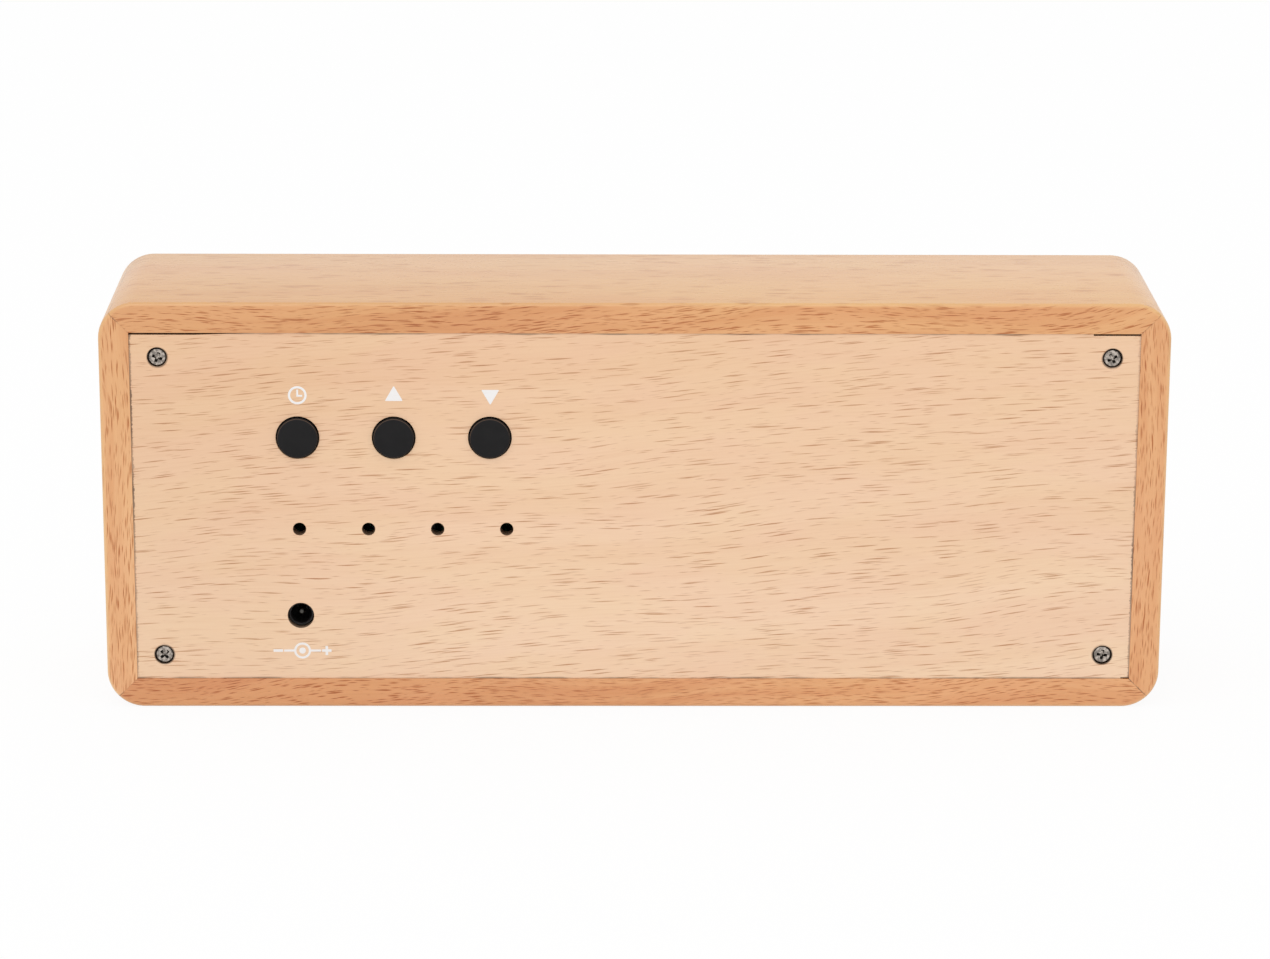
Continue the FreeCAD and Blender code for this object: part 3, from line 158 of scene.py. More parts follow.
class CaseSettings(bpy.types.PropertyGroup):
    wall: length("Wall", "Thickness of the frame's boards", 5.7)
    corner_radius: length("Corner radius", "Radius of the frame's outer corners", 7.0)
    edge_radius: length("Edge radius", "Rounding of the frame's outer edges", 0.85)
    joint_gap: length("Joint gap", "Glue line between two boards at a mitre", 0.01)
    panel_gap: length("Panel gap", "Gap between a panel's edge and the frame", 0.02)
    hole_edge: length("Hole edge", "Rounding of a panel's hole edges", 0.06)
    board_tone: colour("Board", "Beech of the frame's boards", 0.715, 0.335, 0.138)
    panel_tone: colour("Panel", "Pale beech of the panels", 0.876, 0.616, 0.414)
    fleck_tone: colour("Flecks", "How the ray flecks darken the panels' beech", 0.58, 0.40, 0.28)
    board_fleck_tone: colour("Board flecks", "How the ray flecks darken the frame's beech", 0.55, 0.28, 0.05)
    # The cut-wood tone also colours the painted shade in the panels' gaps and holes.
    burn_and_shade_tone: colour("Cut wood", "Scorched wood in sawn and drilled places", 0.05, 0.02, 0.01)


class ButtonSettings(bpy.types.PropertyGroup):
    diameter: length("Diameter", "Button cap", 7.7)
    flange: length("Flange", "Flange behind the panel", 9.5)
    edge_radius: length("Edge radius", "Rounding of the cap's face", 0.35)
    tone: colour("Colour", "Black moulded plastic", 0.009, 0.0085, 0.009)


class ScrewSettings(bpy.types.PropertyGroup):
    head: length("Head", "Diameter of a head", 3.5)
    seat_gap: length("Seat gap", "Room round a head in its sunk hole", 0.1)
    shank: length("Shank", "Diameter of the thread", 2.0)
    recess_depth: length("Recess depth", "Depth of the cross recess", 0.75)
    tone: colour("Colour", "Nickel plate", 0.38, 0.335, 0.295)


class JackSettings(bpy.types.PropertyGroup):
    nose: length("Nose", "Diameter of the jack's nose", 4.7)
    bore: length("Bore", "Diameter of the bore for the plug", 3.8)
    pin: length("Pin", "Diameter of the centre pin", 1.3)
    tone: colour("Colour", "Black moulded plastic", 0.010, 0.009, 0.009)
    # The pin's tone is darker than bare nickel: painted shade for its place down in the bore.
    pin_tone_in_shade: colour("Pin colour", "Nickel plate in the dark bore", 0.12, 0.115, 0.105)


class LampSettings(bpy.types.PropertyGroup):
    diameter: length("Diameter", "Round lamp", 5.0)
    rim: length("Rim", "Diameter of the lamp's foot", 5.6)
    tone: colour("Colour", "Tinted epoxy", 0.50, 0.012, 0.008)


class MarkSettings(bpy.types.PropertyGroup):
    thickness: length("Ink", "Thickness of the printed ink", 0.03)
    stroke: length("Stroke", "Width of a printed line", 0.5)
    tone: colour("Colour", "White ink", 0.88, 0.865, 0.86)


class StageSettings(bpy.types.PropertyGroup):
    focal_length: bpy.props.FloatProperty(
        name="Focal length", description="The camera's lens", default=124.36, min=10, max=300, unit="CAMERA"
    )
    place: bpy.props.FloatVectorProperty(
        name="Camera",
        description="The camera's place",
        default=(0.01149, 0.81385, 0.26875),
        size=3,
        subtype="TRANSLATION",
        unit="LENGTH",
    )
    pitch: angle("Pitch", "The camera's first turn", 74.2471)
    roll: angle("Roll", "The camera's second turn", -0.2707)
    heading: angle("Heading", "The camera's third turn", 179.2451)
    sky: share("Sky", "Light from all sides", 0.92)
    key: bpy.props.FloatProperty(
        name="Key lamp", description="Power of the large soft lamp", default=3.4, min=0.0, unit="POWER"
    )


# ---- modelling ----


def deselect():
    if bpy.context.mode != "OBJECT":
        bpy.ops.object.mode_set(mode="OBJECT")
    bpy.ops.object.select_all(action="DESELECT")


def pick(piece):
    """Makes one piece the only selected and the active one."""
    deselect()
    piece.select_set(True)
    bpy.context.view_layer.objects.active = piece


@contextmanager
def editing(piece, everything=True):
    """Edit mode on one piece, with all of it selected unless its selection is kept."""
    pick(piece)
    bpy.ops.object.mode_set(mode="EDIT")
    if everything:
        bpy.ops.mesh.select_all(action="SELECT")
    yield
    bpy.ops.object.mode_set(mode="OBJECT")


def middle_of(node):
    """The x and z of a node's middle."""
    low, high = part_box(node)
    return (low.x + high.x) / 2, (low.z + high.z) / 2


def name_and_settle(name):
    """Puts a new primitive's place into its mesh."""
    bpy.ops.object.transform_apply(location=True, rotation=True, scale=True)
    piece = bpy.context.object
    piece.name = piece.data.name = name
    return piece


def new_box(name, low, high):
    deselect()
    low, high = Vector(low), Vector(high)
    bpy.ops.mesh.primitive_cube_add(size=1, location=(low + high) / 2, scale=high - low)
    return name_and_settle(name)


def new_disc(name, x, y, z, radius, sides, turn=0):
    """A flat disc in the plane of the panels."""
    deselect()
    bpy.ops.mesh.primitive_circle_add(
        vertices=sides, radius=radius, fill_type="NGON", location=(x, y, z), rotation=(math.pi / 2, turn, 0)
    )
    return name_and_settle(name)


def extrude_to(piece, x, z, rings):
    """Extrudes the selected face along Y from ring to ring: each is a radius and a y."""
    points = [vertex.co for vertex in piece.data.vertices]
    radius = max(math.hypot(point.x - x, point.z - z) for point in points)
    y = points[0].y
    with editing(piece):
        for next_radius, next_y in rings:
            bpy.ops.mesh.extrude_region_move(TRANSFORM_OT_translate={"value": (0, next_y - y, 0)})
            ratio = next_radius / radius
            bpy.ops.transform.resize(value=(ratio, 1, ratio), center_override=(x, next_y, z))
            radius, y = next_radius, next_y
        bpy.ops.mesh.select_all(action="SELECT")
        bpy.ops.mesh.normals_make_consistent(inside=False)


def new_turned(name, x, z, rings, sides=64):
    """A closed piece turned about an axis along Y; rings holds its radii and their y, from end to end."""
    radius, y = rings[0]
    piece = new_disc(name, x, y, z, radius, sides)
    extrude_to(piece, x, z, rings[1:])
    return piece


def rounded_rim(radius, y, edge, inwards, steps=5):
    """Rings of a rounded rim at y, from the side to the face; inwards is the way along Y into the piece."""
    rings = []
    for step in range(steps + 1):
        turn = math.pi / 2 * step / steps
        rings.append((radius - edge * (1 - math.cos(turn)), y + inwards * edge * (1 - math.sin(turn))))
    return rings


def apply_modifier(piece, kind, **settings):
    pick(piece)
    modifier = piece.modifiers.new(kind.lower(), kind)
    for name, value in settings.items():
        setattr(modifier, name, value)
    bpy.ops.object.modifier_apply(modifier=modifier.name)


def cut_away(piece, *cutters, operation="DIFFERENCE"):
    """Subtracts the cutters from the piece and removes them."""
    for cutter in cutters:
        apply_modifier(piece, "BOOLEAN", operation=operation, solver="EXACT", object=cutter)
        bpy.data.objects.remove(cutter)


def fuse(piece, *others):
    """Adds the others to the piece as one closed mesh and removes them."""
    cut_away(piece, *others, operation="UNION")


def join_loose(piece, *others):
    """Makes the others, which don't touch it, parts of the piece's mesh."""
    pick(piece)
    for other in others:
        other.select_set(True)
    bpy.ops.object.join()


def copy_of(piece, name, move):
    """A copy with its own mesh, moved by a vector that goes into the mesh."""
    pick(piece)
    bpy.ops.object.duplicate()
    made = bpy.context.object
    made.name = made.data.name = name
    bpy.ops.transform.translate(value=move)
    bpy.ops.object.transform_apply(location=True, rotation=False, scale=False)
    return made


def select_only(piece, kind, indices):
    """Selects the edges or polygons with these indices and nothing else."""
    pick(piece)
    bpy.context.tool_settings.mesh_select_mode = (False, kind == "edges", kind == "polygons")
    mesh = piece.data
    for group in (mesh.vertices, mesh.edges, mesh.polygons):
        group.foreach_set("select", [False] * len(group))
    for index in indices:
        part = getattr(mesh, kind)[index]
        part.select = True
        for end in part.vertices:
            mesh.vertices[end].select = True


def bevel_edges(piece, wanted, offset, segments):
    """Rounds the edges whose two ends pass a test."""
    points = piece.data.vertices
    chosen = [edge.index for edge in piece.data.edges if wanted(*(points[end].co for end in edge.vertices))]
    select_only(piece, "edges", chosen)
    with editing(piece, everything=False):
        bpy.ops.mesh.bevel(offset=offset, offset_type="OFFSET", segments=segments, affect="EDGES")


def keep_side(piece, point, normal):
    """Saws the piece along a plane and keeps the side that the normal points away from."""
    with editing(piece):
        bpy.ops.mesh.bisect(
            plane_co=point, plane_no=normal, use_fill=True, clear_outer=True, threshold=SAW_THRESHOLD
        )


def finish_mesh(piece):
    """Checks that a mesh is closed, points its faces outwards and shades its curves smooth."""
    with editing(piece):
        bpy.ops.mesh.remove_doubles(threshold=SAME_POINT)
        bpy.ops.mesh.normals_make_consistent(inside=False)
    faces = {}
    for face in piece.data.polygons:
        for key in face.edge_keys:
            faces[key] = faces.get(key, 0) + 1
    open_edges = sum(1 for count in faces.values() if count != 2)
    if open_edges:
        raise ValueError(f"{piece.name} has {open_edges} open edges")
    bpy.ops.object.shade_smooth_by_angle(angle=FLAT_ANGLE)


def dress(piece, material, slot, *nodes, body="root"):
    """Finishes a piece and gives it its material, its body and the nodes that it stands for; the slot is not
    used.
    """
    finish_mesh(piece)
    piece.data.materials.clear()
    piece.data.materials.append(material)
    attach(piece, body)
    if nodes:
        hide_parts(*nodes)


# ---- materials ----


class Value:
    """A number socket. The arithmetic that is added below makes Math nodes."""

    def __init__(self, graph, socket):
        self.graph = graph
        self.socket = socket

    def __abs__(self):
        return self.graph.maths("ABSOLUTE", self)


def arithmetic(operation, reflected):
    def work(value, other):
        return value.graph.maths(operation, *((other, value) if reflected else (value, other)))

    return work


for sign, operation in (("add", "ADD"), ("sub", "SUBTRACT"), ("mul", "MULTIPLY"), ("truediv", "DIVIDE")):
    setattr(Value, f"__{sign}__", arithmetic(operation, False))
    setattr(Value, f"__r{sign}__", arithmetic(operation, True))


class Graph:
    """The nodes of one material or world."""

    def __init__(self, owner):
        owner.use_nodes = True
        self.owner = owner
        self.tree = owner.node_tree
        self.tree.nodes.clear()

    def node(self, kind, settings, **sockets):
        """Adds a node: its settings first, then the values or links of its sockets."""
        made = self.tree.nodes.new("ShaderNode" + kind)
        for name, setting in settings.items():
            setattr(made, name, setting)
        for name, given in sockets.items():
            self.feed(made.inputs[name.replace("_", " ")], given)
        return made

    def feed(self, socket, given):
        if isinstance(given, Value):
            given = given.socket
        if isinstance(given, bpy.types.NodeSocket):
            self.tree.links.new(given, socket)
        else:
            socket.default_value = given

    def operate(self, kind, operation, operands):
        made = self.node(kind, {"operation": operation})
        for socket, given in zip(made.inputs, operands):
            self.feed(socket, given)
        return made.outputs[0]

    def maths(self, operation, *operands):
        return Value(self, self.operate("Math", operation, operands))

    def vector_maths(self, operation, *operands):
        return self.operate("VectorMath", operation, operands)

    def highest(self, first, *others):
        for other in others:
            first = self.maths("MAXIMUM", first, other)
        return first

    def reach(self, across, up):
        """The distance from a middle, from the two distances along its axes."""
        return self.maths("SQRT", across * across + up * up)

    def mix(self, factor, first, second, blend="MIX"):
        """A mix of two colours."""
        made = self.node("Mix", {"data_type": "RGBA", "blend_type": blend})
        for socket, given in zip((made.inputs[0], made.inputs[6], made.inputs[7]), (factor, first, second)):
            self.feed(socket, given)
        return made.outputs[2]

    def tint(self, factor, shade, *tone):
        """A colour multiplied by a tone where the factor is 1."""
        return self.mix(factor, shade, rgba(tone), "MULTIPLY")

    def step(self, value, low, high, to_low=0.0, to_high=1.0):
        """A smooth step of a value between two levels."""
        made = self.node(
            "MapRange",
            {"interpolation_type": "SMOOTHSTEP"},
            Value=value,
            From_Min=low,
            From_Max=high,
            To_Min=to_low,
            To_Max=to_high,
        )
        return Value(self, made.outputs[0])

    def place(self):
        """The place on the piece in millimetres."""
        coordinates = self.node("TexCoord", {})
        made = self.node(
            "VectorMath", {"operation": "SCALE"}, Vector=coordinates.outputs["Object"], Scale=1 / MM
        )
        return made.outputs[0]

    def split(self, vector):
        parts = self.node("SeparateXYZ", {}, Vector=vector)
        return [Value(self, part) for part in parts.outputs]

    def join(self, x, y, z):
        return self.node("CombineXYZ", {}, X=x, Y=y, Z=z).outputs[0]

    def noise(self, vector, scale=1.0, detail=2.0, roughness=0.5):
        made = self.node(
            "TexNoise", {}, Vector=vector, Scale=scale, Detail=detail, Roughness=roughness
        )
        return Value(self, made.outputs[0])

    def shades(self, value, low, high, tone, at_low, at_high):
        """A tone that goes from one strength to another as a value goes between two levels."""
        return self.mix(self.step(value, low, high), rgba(tone, at_low), rgba(tone, at_high))

    def nearest(self, offset, pitch):
        """How far a place is from the nearest one in a row with this pitch."""
        return (self.maths("FRACT", offset / pitch + 0.5) - 0.5) * pitch

    def stretched(self, place, lengths, detail=2.0, roughness=0.5):
        """Noise with cells of these lengths in millimetres."""
        return self.noise(self.vector_maths("DIVIDE", place, lengths), 1.0, detail, roughness)

    def seen_straight(self):
        """1 where the camera sees a thing itself, in a reflection or through something clear."""
        rays = self.node("LightPath", {})
        return self.highest(*(Value(self, rays.outputs[f"Is {kind} Ray"]) for kind in SEEING_RAYS))

    def surface(self, **sockets):
        """Finishes the material with its shader's sockets by name, and gives the material."""
        shader = self.node("BsdfPrincipled", {}, **sockets)
        self.node("OutputMaterial", {}, Surface=shader.outputs[0])
        return self.owner

    def bump(self, height, depth, strength=1.0):
        """A relief whose depth is in millimetres."""
        return self.node("Bump", {}, Height=height, Distance=depth * MM, Strength=strength).outputs[0]


def new_material(name, tone):
    material = bpy.data.materials.new(name)
    material.diffuse_color = (*tone, 1)
    return Graph(material)


def rgba(tone, factor=1.0):
    return (tone[0] * factor, tone[1] * factor, tone[2] * factor, 1.0)


def grain_place(graph, upright, tilt, seed, sway):
    """The place with its first number along the grain, bent a little as the grain wanders."""
    place = graph.place()
    if upright:
        x, y, z = graph.split(place)
        place = graph.join(z, y, x)
    move = (seed * 37.0, seed * 11.0, seed * 53.0)
    place = graph.node("Mapping", {}, Vector=place, Location=move, Rotation=(0, tilt, 0)).outputs[0]
    x, y, z = graph.split(place)
    wander = graph.stretched(place, (70.0, 30.0, 30.0), 1.0)
    ripple = graph.stretched(place, (9.0, 4.0, 3.0), 1.0)
    return graph.join(x, y, z + (wander - 0.5) * sway + (ripple - 0.5) * 0.35)


def flecks(graph, place, lengths, reach, present, seed, faintest=0.45):
    """Ray flecks: a pointed spindle in most cells of a stretched pattern, with a strength of its own."""
    cell = graph.vector_maths("DIVIDE", place, lengths)
    cell = graph.vector_maths("ADD", cell, (seed * 5.3, seed * 2.1, seed * 7.7))
    pattern = {"distance": "MINKOWSKI", "feature": "F1"}
    made = graph.node("TexVoronoi", pattern, Vector=cell, Scale=1.0, Exponent=1.25)
    distance = Value(graph, made.outputs["Distance"])
    chance, weight, depth = graph.split(made.outputs["Color"])
    size = weight * reach * 0.4 + reach * 0.6
    spindle = graph.step(size - distance, 0.0, reach * 0.27)
    shown = graph.step(chance, 1 - present - 0.04, 1 - present)
    return spindle * shown * (depth * (1 - faintest) + faintest)


def beech(name, tones, settings, upright=False, tilt=0.0, seed=0, panel=False):
    """Steamed beech in two tones, the first for its +X or top end: fibres, bands and ray flecks."""
    graph = new_material(name, tones[0])
    grain = grain_place(graph, upright, tilt, seed, 7.0 if panel else 16.0)
    x, y, z = graph.split(graph.place())
    above = z - MIDDLE_Z
    bands = graph.stretched(grain, (150.0, 18.0, 7.0) if panel else (90.0, 14.0, 3.6))
    clouds = graph.stretched(grain, (26.0, 14.0, 9.0))
    fibres = graph.stretched(grain, (14.0, 0.6, 0.34), 3.0, 0.6)
    pores = graph.stretched(grain, (2.2, 0.16, 0.14), 1.0)
    clump = graph.stretched(grain, (30.0, 9.0, 7.0))
    large, small = PANEL_FLECKS if panel else BOARD_FLECKS
    faintest = 0.45 if panel else 0.40 if upright else 0.75
    large = flecks(graph, grain, *large, seed, faintest)
    small = flecks(graph, grain, *small, seed + 3, faintest) * (SMALL_STRENGTH if panel else 1.0)
    marks = graph.highest(large, small) * graph.step(clump, 0.34, 0.62, 0.86, 1.0)
    across = above * 2.0 if upright else x
    along = graph.step(across + (clouds - 0.5) * (30 if upright else 70), -80.0, 80.0)
    shade = graph.mix(along, rgba(tones[1]), rgba(tones[0]))
    cast = graph.mix(graph.step(clouds, 0.36, 0.64), (1.004, 0.989, 1.0, 1.0), (1.004, 1.008, 0.988, 1.0))
    shade = graph.mix(1.0, shade, cast, "MULTIPLY")
    deep = graph.step(bands, 0.42, 0.72, 0.0, 0.35) if panel else graph.step(bands, 0.40, 0.62)
    streak = graph.step(fibres, 0.40, 0.72, 0.0, 0.5 if panel else 0.7)
    if not panel:
        outwards = outwards_place(graph, x, above, settings.corner_radius / MM)
        rim = settings.edge_radius / MM
        outer = graph.step(outwards, -rim, -0.1)
        calm = flat_sawn(graph, grain_place(graph, upright, tilt, seed + 20, 3.0), seed)
        pairs = zip((marks, streak, deep), calm)
        marks, streak, deep = (lively * (1 - outer) + calmer * outer for lively, calmer in pairs)
    shade = graph.tint(deep, shade, 0.93, 0.84, 0.78)
    shade = graph.tint(streak, shade, 0.93, 0.88, 0.84)
    shade = graph.tint(marks, shade, *(settings.fleck_tone if panel else settings.board_fleck_tone))
    height = 0.0 - marks * 0.5 - fibres * 0.35 - graph.step(pores, 0.62, 0.75) * 0.4
    if panel:
        # Painted shading that evens out the light over the panel.
        shade = panel_painted_shading(graph, x, above, shade)
        scorch_glue_and_shade = panel_scorch_and_shade(graph, x, y, z, above)
    else:
        height = height * (1 - outer)
        scorch_glue_and_shade = mitre_glue(graph, x, y, z, above)
        # The outer faces are cut paler, and the rounded edges get a painted highlight that makes them paler
        # still.
        shade = graph.tint(outer, shade, 0.948, 1.03, 0.97)
        corner = outwards + (abs(y) - CASE_HIGH.y / MM)
        # Painted highlight along the rounded outer edges.
        shade = graph.tint(graph.step(corner, -rim, -0.62 * rim), shade, 1.05, 1.09, 1.14)
    return graph.surface(
        Base_Color=graph.mix(scorch_glue_and_shade, shade, rgba(settings.burn_and_shade_tone)),
        Roughness=(0.34 if panel else 0.28) + marks * 0.08 + (fibres - 0.5) * 0.05,
        IOR=1.5,
        Specular_IOR_Level=0.5 if panel else 0.7,
        Normal=graph.bump(height, 0.03 if panel else 0.008, 0.6),
    )


def flat_sawn(graph, grain, seed):
    """The calmer look of the frame's outer faces: strengths of its wide flecks, fine lines and bands."""
    wide = flecks(graph, grain, (8.6, 1.45, 1.8), 0.49, 0.85, seed + 6)
    lines = graph.stretched(grain, (22.0, 0.45, 0.45), 3.0, 0.6)
    bands = graph.stretched(grain, (120.0, 6.0, 6.0))
    return wide * 0.46, graph.step(lines, 0.42, 0.72, 0.0, 0.75), graph.step(bands, 0.42, 0.66, 0.0, 0.55)


def outwards_place(graph, x, above, radius):
    """How far a point is outside the frame's outer faces and rounded corners; it is negative inside."""
    beside = abs(x) - (CASE_HALF_WIDTH - radius)
    over = abs(above) - (CASE_HALF_HEIGHT - radius)
    flat = graph.maths("MINIMUM", graph.highest(beside, over), 0.0)
    return graph.reach(graph.highest(beside, 0.0), graph.highest(over, 0.0)) + flat - radius


def panel_painted_shading(graph, x, above, shade):
    """Painted shading that evens out the light over a panel: paler towards its foot, and deeper towards its
    head and its +X end.
    """
    reach = PANEL_HALF_HEIGHT * 1.25
    rise = graph.step(above, -reach, reach)
    painted_shading = graph.mix(rise, (1.026, 1.074, 1.126, 1.0), (0.975, 0.931, 0.888, 1.0))
    shade = graph.mix(1.0, shade, painted_shading, "MULTIPLY")
    return graph.tint(graph.step(x, 20.0, 86.0), shade, 0.956, 0.927, 0.899)


def panel_scorch_and_shade(graph, x, y, z, above):
    """Dark sawn edges of a panel, the drilled rings round its screws and the walls of its holes, each
    deepened with painted shade of the gaps and holes beside them.
    """
    aside, up = abs(x), abs(above)
    teeth = graph.noise(graph.join(x * 0.2, z * 0.2, z * 1.3), 1.0, 3.0, 0.75)
    patches = graph.noise(graph.join(x * 0.05, 0.0, z * 0.09), 1.0, 1.0)
    worn = graph.noise(graph.join(x * 0.12, 0.0, z * 0.12), 1.0, 3.0)
    uneven = graph.noise(graph.join(x * 0.45, y, z * 0.45))
    # Scorched end edges, dark also as painted shadow of the gap to the frame.
    ends = graph.step(aside - PANEL_HALF_WIDTH + teeth * 0.9 - 0.34, -0.10, 0.10)
    ends = ends * graph.step(patches, 0.38, 0.60, 0.45, 0.95)
    ends = ends * graph.step(above * x / PANEL_HALF_WIDTH, -12.0, 12.0, 0.38, 1.0)
    # Scorched top and bottom edges, dark also as painted shadow of the gap to the frame.
    sides = graph.step(up - PANEL_HALF_HEIGHT + worn * 0.35, 0.02, 0.18)
    sides = sides * graph.step(worn, 0.4, 0.65, 0.1, 0.55)
    # A scorched ring round each screw seat, dark also as painted shadow of the gap round the head.
    low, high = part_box("back_panel_screws")
    screw_x, screw_up = high.x / MM - HEAD_RADIUS, (high.z - low.z) / 2 / MM - HEAD_RADIUS
    screw = graph.reach(aside - screw_x, up - screw_up)
    ring = graph.step(screw, 2.15, 1.85) * graph.step(uneven, 0.25, 0.65, 0.35, 0.80)
    ring = ring * graph.step(y, -1.0, 1.0)
    # Hole walls below the face are darkened: scorch, deepened as painted shade inside the holes.
    inside = graph.step(max(BACK_FACE, -FRONT_FACE) / MM - abs(y), 0.06, 0.30) * 0.74
    return graph.highest(ends, sides, ring, inside)


def mitre_glue(graph, x, y, z, above):
    """The thin dark glue line at the mitres, which fades in places."""
    across = (CASE_HALF_WIDTH - abs(x)) - (CASE_HALF_HEIGHT - abs(above))
    ragged = graph.noise(graph.join(x * 0.3, y * 0.3, z * 0.3))
    return graph.step(abs(across), 0.20, 0.06) * graph.step(ragged, 0.44, 0.64, 0.05, 0.6)


def moulded(name, tone, roughness=0.42, grain=0.18, coat=0.0, specular=0.2):
    """Moulded plastic with a fine grain and slight scuffs."""
    graph = new_material(name, tone)
    place = graph.place()
    fine = graph.noise(place, 1 / grain)
    wide = graph.noise(place, 0.35)
    return graph.surface(
        Base_Color=graph.shades(wide, 0.3, 0.7, tone, 0.88, 1.12),
        Roughness=roughness + (fine - 0.5) * 0.12 + (wide - 0.5) * 0.08,
        Coat_Weight=coat,
        Normal=graph.bump(fine, 0.012, 0.5),
        Specular_IOR_Level=specular,
    )


def plated(name, tone, roughness=0.28):
    """Plated or drawn metal with fine draw lines and dull spots."""
    graph = new_material(name, tone)
    place = graph.place()
    lines = graph.stretched(place, (6.0, 0.2, 0.2), 3.0)
    spots = graph.noise(place, 1 / 0.35, 3.0, 0.6)
    return graph.surface(
        Base_Color=graph.shades(spots, 0.35, 0.75, tone, 1.0, 0.78),
        Metallic=1.0,
        Roughness=roughness + (lines - 0.5) * 0.16 + (spots - 0.5) * 0.14,
        Normal=graph.bump(lines, 0.006, 0.5),
    )


def button_plastic(name, tone, radius):
    """Black moulded plastic, with a painted brown-grey highlight on the upper side of the rim of each
    button's face.
    """
    graph = new_material(name, tone)
    place = graph.place()
    x, _, z = graph.split(place)
    first_x, first_z = middle_of("set_button_cap")
    pitch = (first_x - middle_of("up_button_cap")[0]) / MM
    across = graph.nearest(x - first_x / MM, pitch)
    up = z - first_z / MM
    # Painted highlight: a thin brown-grey arc on the rim, strongest at its top.
    rim = graph.step(abs(graph.reach(across, up) - (radius / MM - 0.16)), 0.09, 0.02)
    highlight_side = graph.step(up + across * 0.25, -0.8, 2.6, 0.1, 1.0)
    fine = graph.noise(place, 6.0)
    base = graph.shades(graph.noise(place, 0.35), 0.3, 0.7, tone, 0.85, 1.1)
    return graph.surface(
        Base_Color=graph.mix(rim * highlight_side, base, (0.085, 0.052, 0.036, 1.0)),
        Roughness=0.46 + (fine - 0.5) * 0.12,
        Specular_IOR_Level=0.18,
        Normal=graph.bump(fine, 0.012, 0.5),
    )


def screw_nickel(name, tone, recess_depth):
    """Nickel plate that is dull and dirty down in the cross recess, darkened there with painted shade, and
    with a painted glint where it is bright again at its bottom.
    """
    graph = new_material(name, tone)
    place = graph.place()
    spots = graph.noise(place, 1.6, 3.0, 0.6)
    depth = BACK_FACE / MM - graph.split(place)[1]
    # Painted glint: the bottom of the recess is left bright.
    bottom = graph.step(depth, recess_depth / MM - 0.06, recess_depth / MM - 0.02)
    # Dirt and painted shade darken the plate down in the recess.
    dirt_and_shade = graph.step(depth + (spots - 0.5) * 0.2, 0.10, 0.30) * (1 - bottom * 0.9)
    return graph.surface(
        Base_Color=graph.mix(dirt_and_shade, graph.shades(spots, 0.36, 0.62, tone, 1.55, 0.6), rgba(tone, 0.12)),
        Metallic=1.0,
        Roughness=0.24 + (spots - 0.5) * 0.2 + dirt_and_shade * 0.3,
        Normal=graph.bump(spots, 0.03, 0.6),
    )


def tinted_epoxy(name, tone):
    """Tinted, nearly clear epoxy, deeper towards a lamp's foot, with a cup and a chip in its middle."""
    graph = new_material(name, tone)
    place = graph.place()
    x, y, z = graph.split(place)
    front, inner = FRONT_LOW.y / MM, FRONT_HIGH.y / MM
    across = abs(abs(x) - LAMP_COLUMNS_MIDDLE) - LAMP_COLUMNS_APART / 2
    distance = graph.reach(across, graph.nearest(z - LAMP_LOW, LAMP_PITCH))
    swirl = graph.noise(place, 0.6)
    base = graph.shades(y, front - 1.0, inner + 2.0, tone, 1.15, 0.55)
    base = graph.mix(graph.step(swirl, 0.3, 0.7, 0.0, 0.3), base, rgba(tone, 0.8))
    cup = graph.step(distance, 1.25, 1.05) * graph.step(y, front + 2.0, front + 1.0)
    base = graph.mix(cup * 0.8, base, (0.70, 0.085, 0.06, 1.0))
    cup_edge = graph.step(abs(distance - 1.18), 0.16, 0.04)
    base = graph.mix(cup_edge * 0.7, base, rgba(tone, 0.35))
    chip = graph.step(distance, 0.42, 0.28)
    return graph.surface(
        Base_Color=graph.mix(chip * 0.8, base, (0.24, 0.03, 0.02, 1.0)),
        Roughness=0.10 + swirl * 0.06,
        Coat_Weight=0.6,
        Transmission_Weight=0.25,
        Subsurface_Weight=0.15,
        Subsurface_Scale=0.001,
        IOR=1.5,
        Normal=graph.bump(swirl, 0.02, 0.2),
    )


def printed_ink(name, tone):
    """White pad-printed ink that lets a little of the wood's pores through."""
    graph = new_material(name, tone)
    fibre = graph.stretched(graph.place(), (3.0, 0.3, 0.25))
    return graph.surface(
        Base_Color=graph.mix(graph.step(fibre, 0.58, 0.80, 0.0, 0.28), rgba(tone), (0.80, 0.66, 0.52, 1.0)),
        Roughness=0.5 + (fibre - 0.5) * 0.15,
        Normal=graph.bump(fibre, 0.01, 0.5),
    )


# ---- operators ----


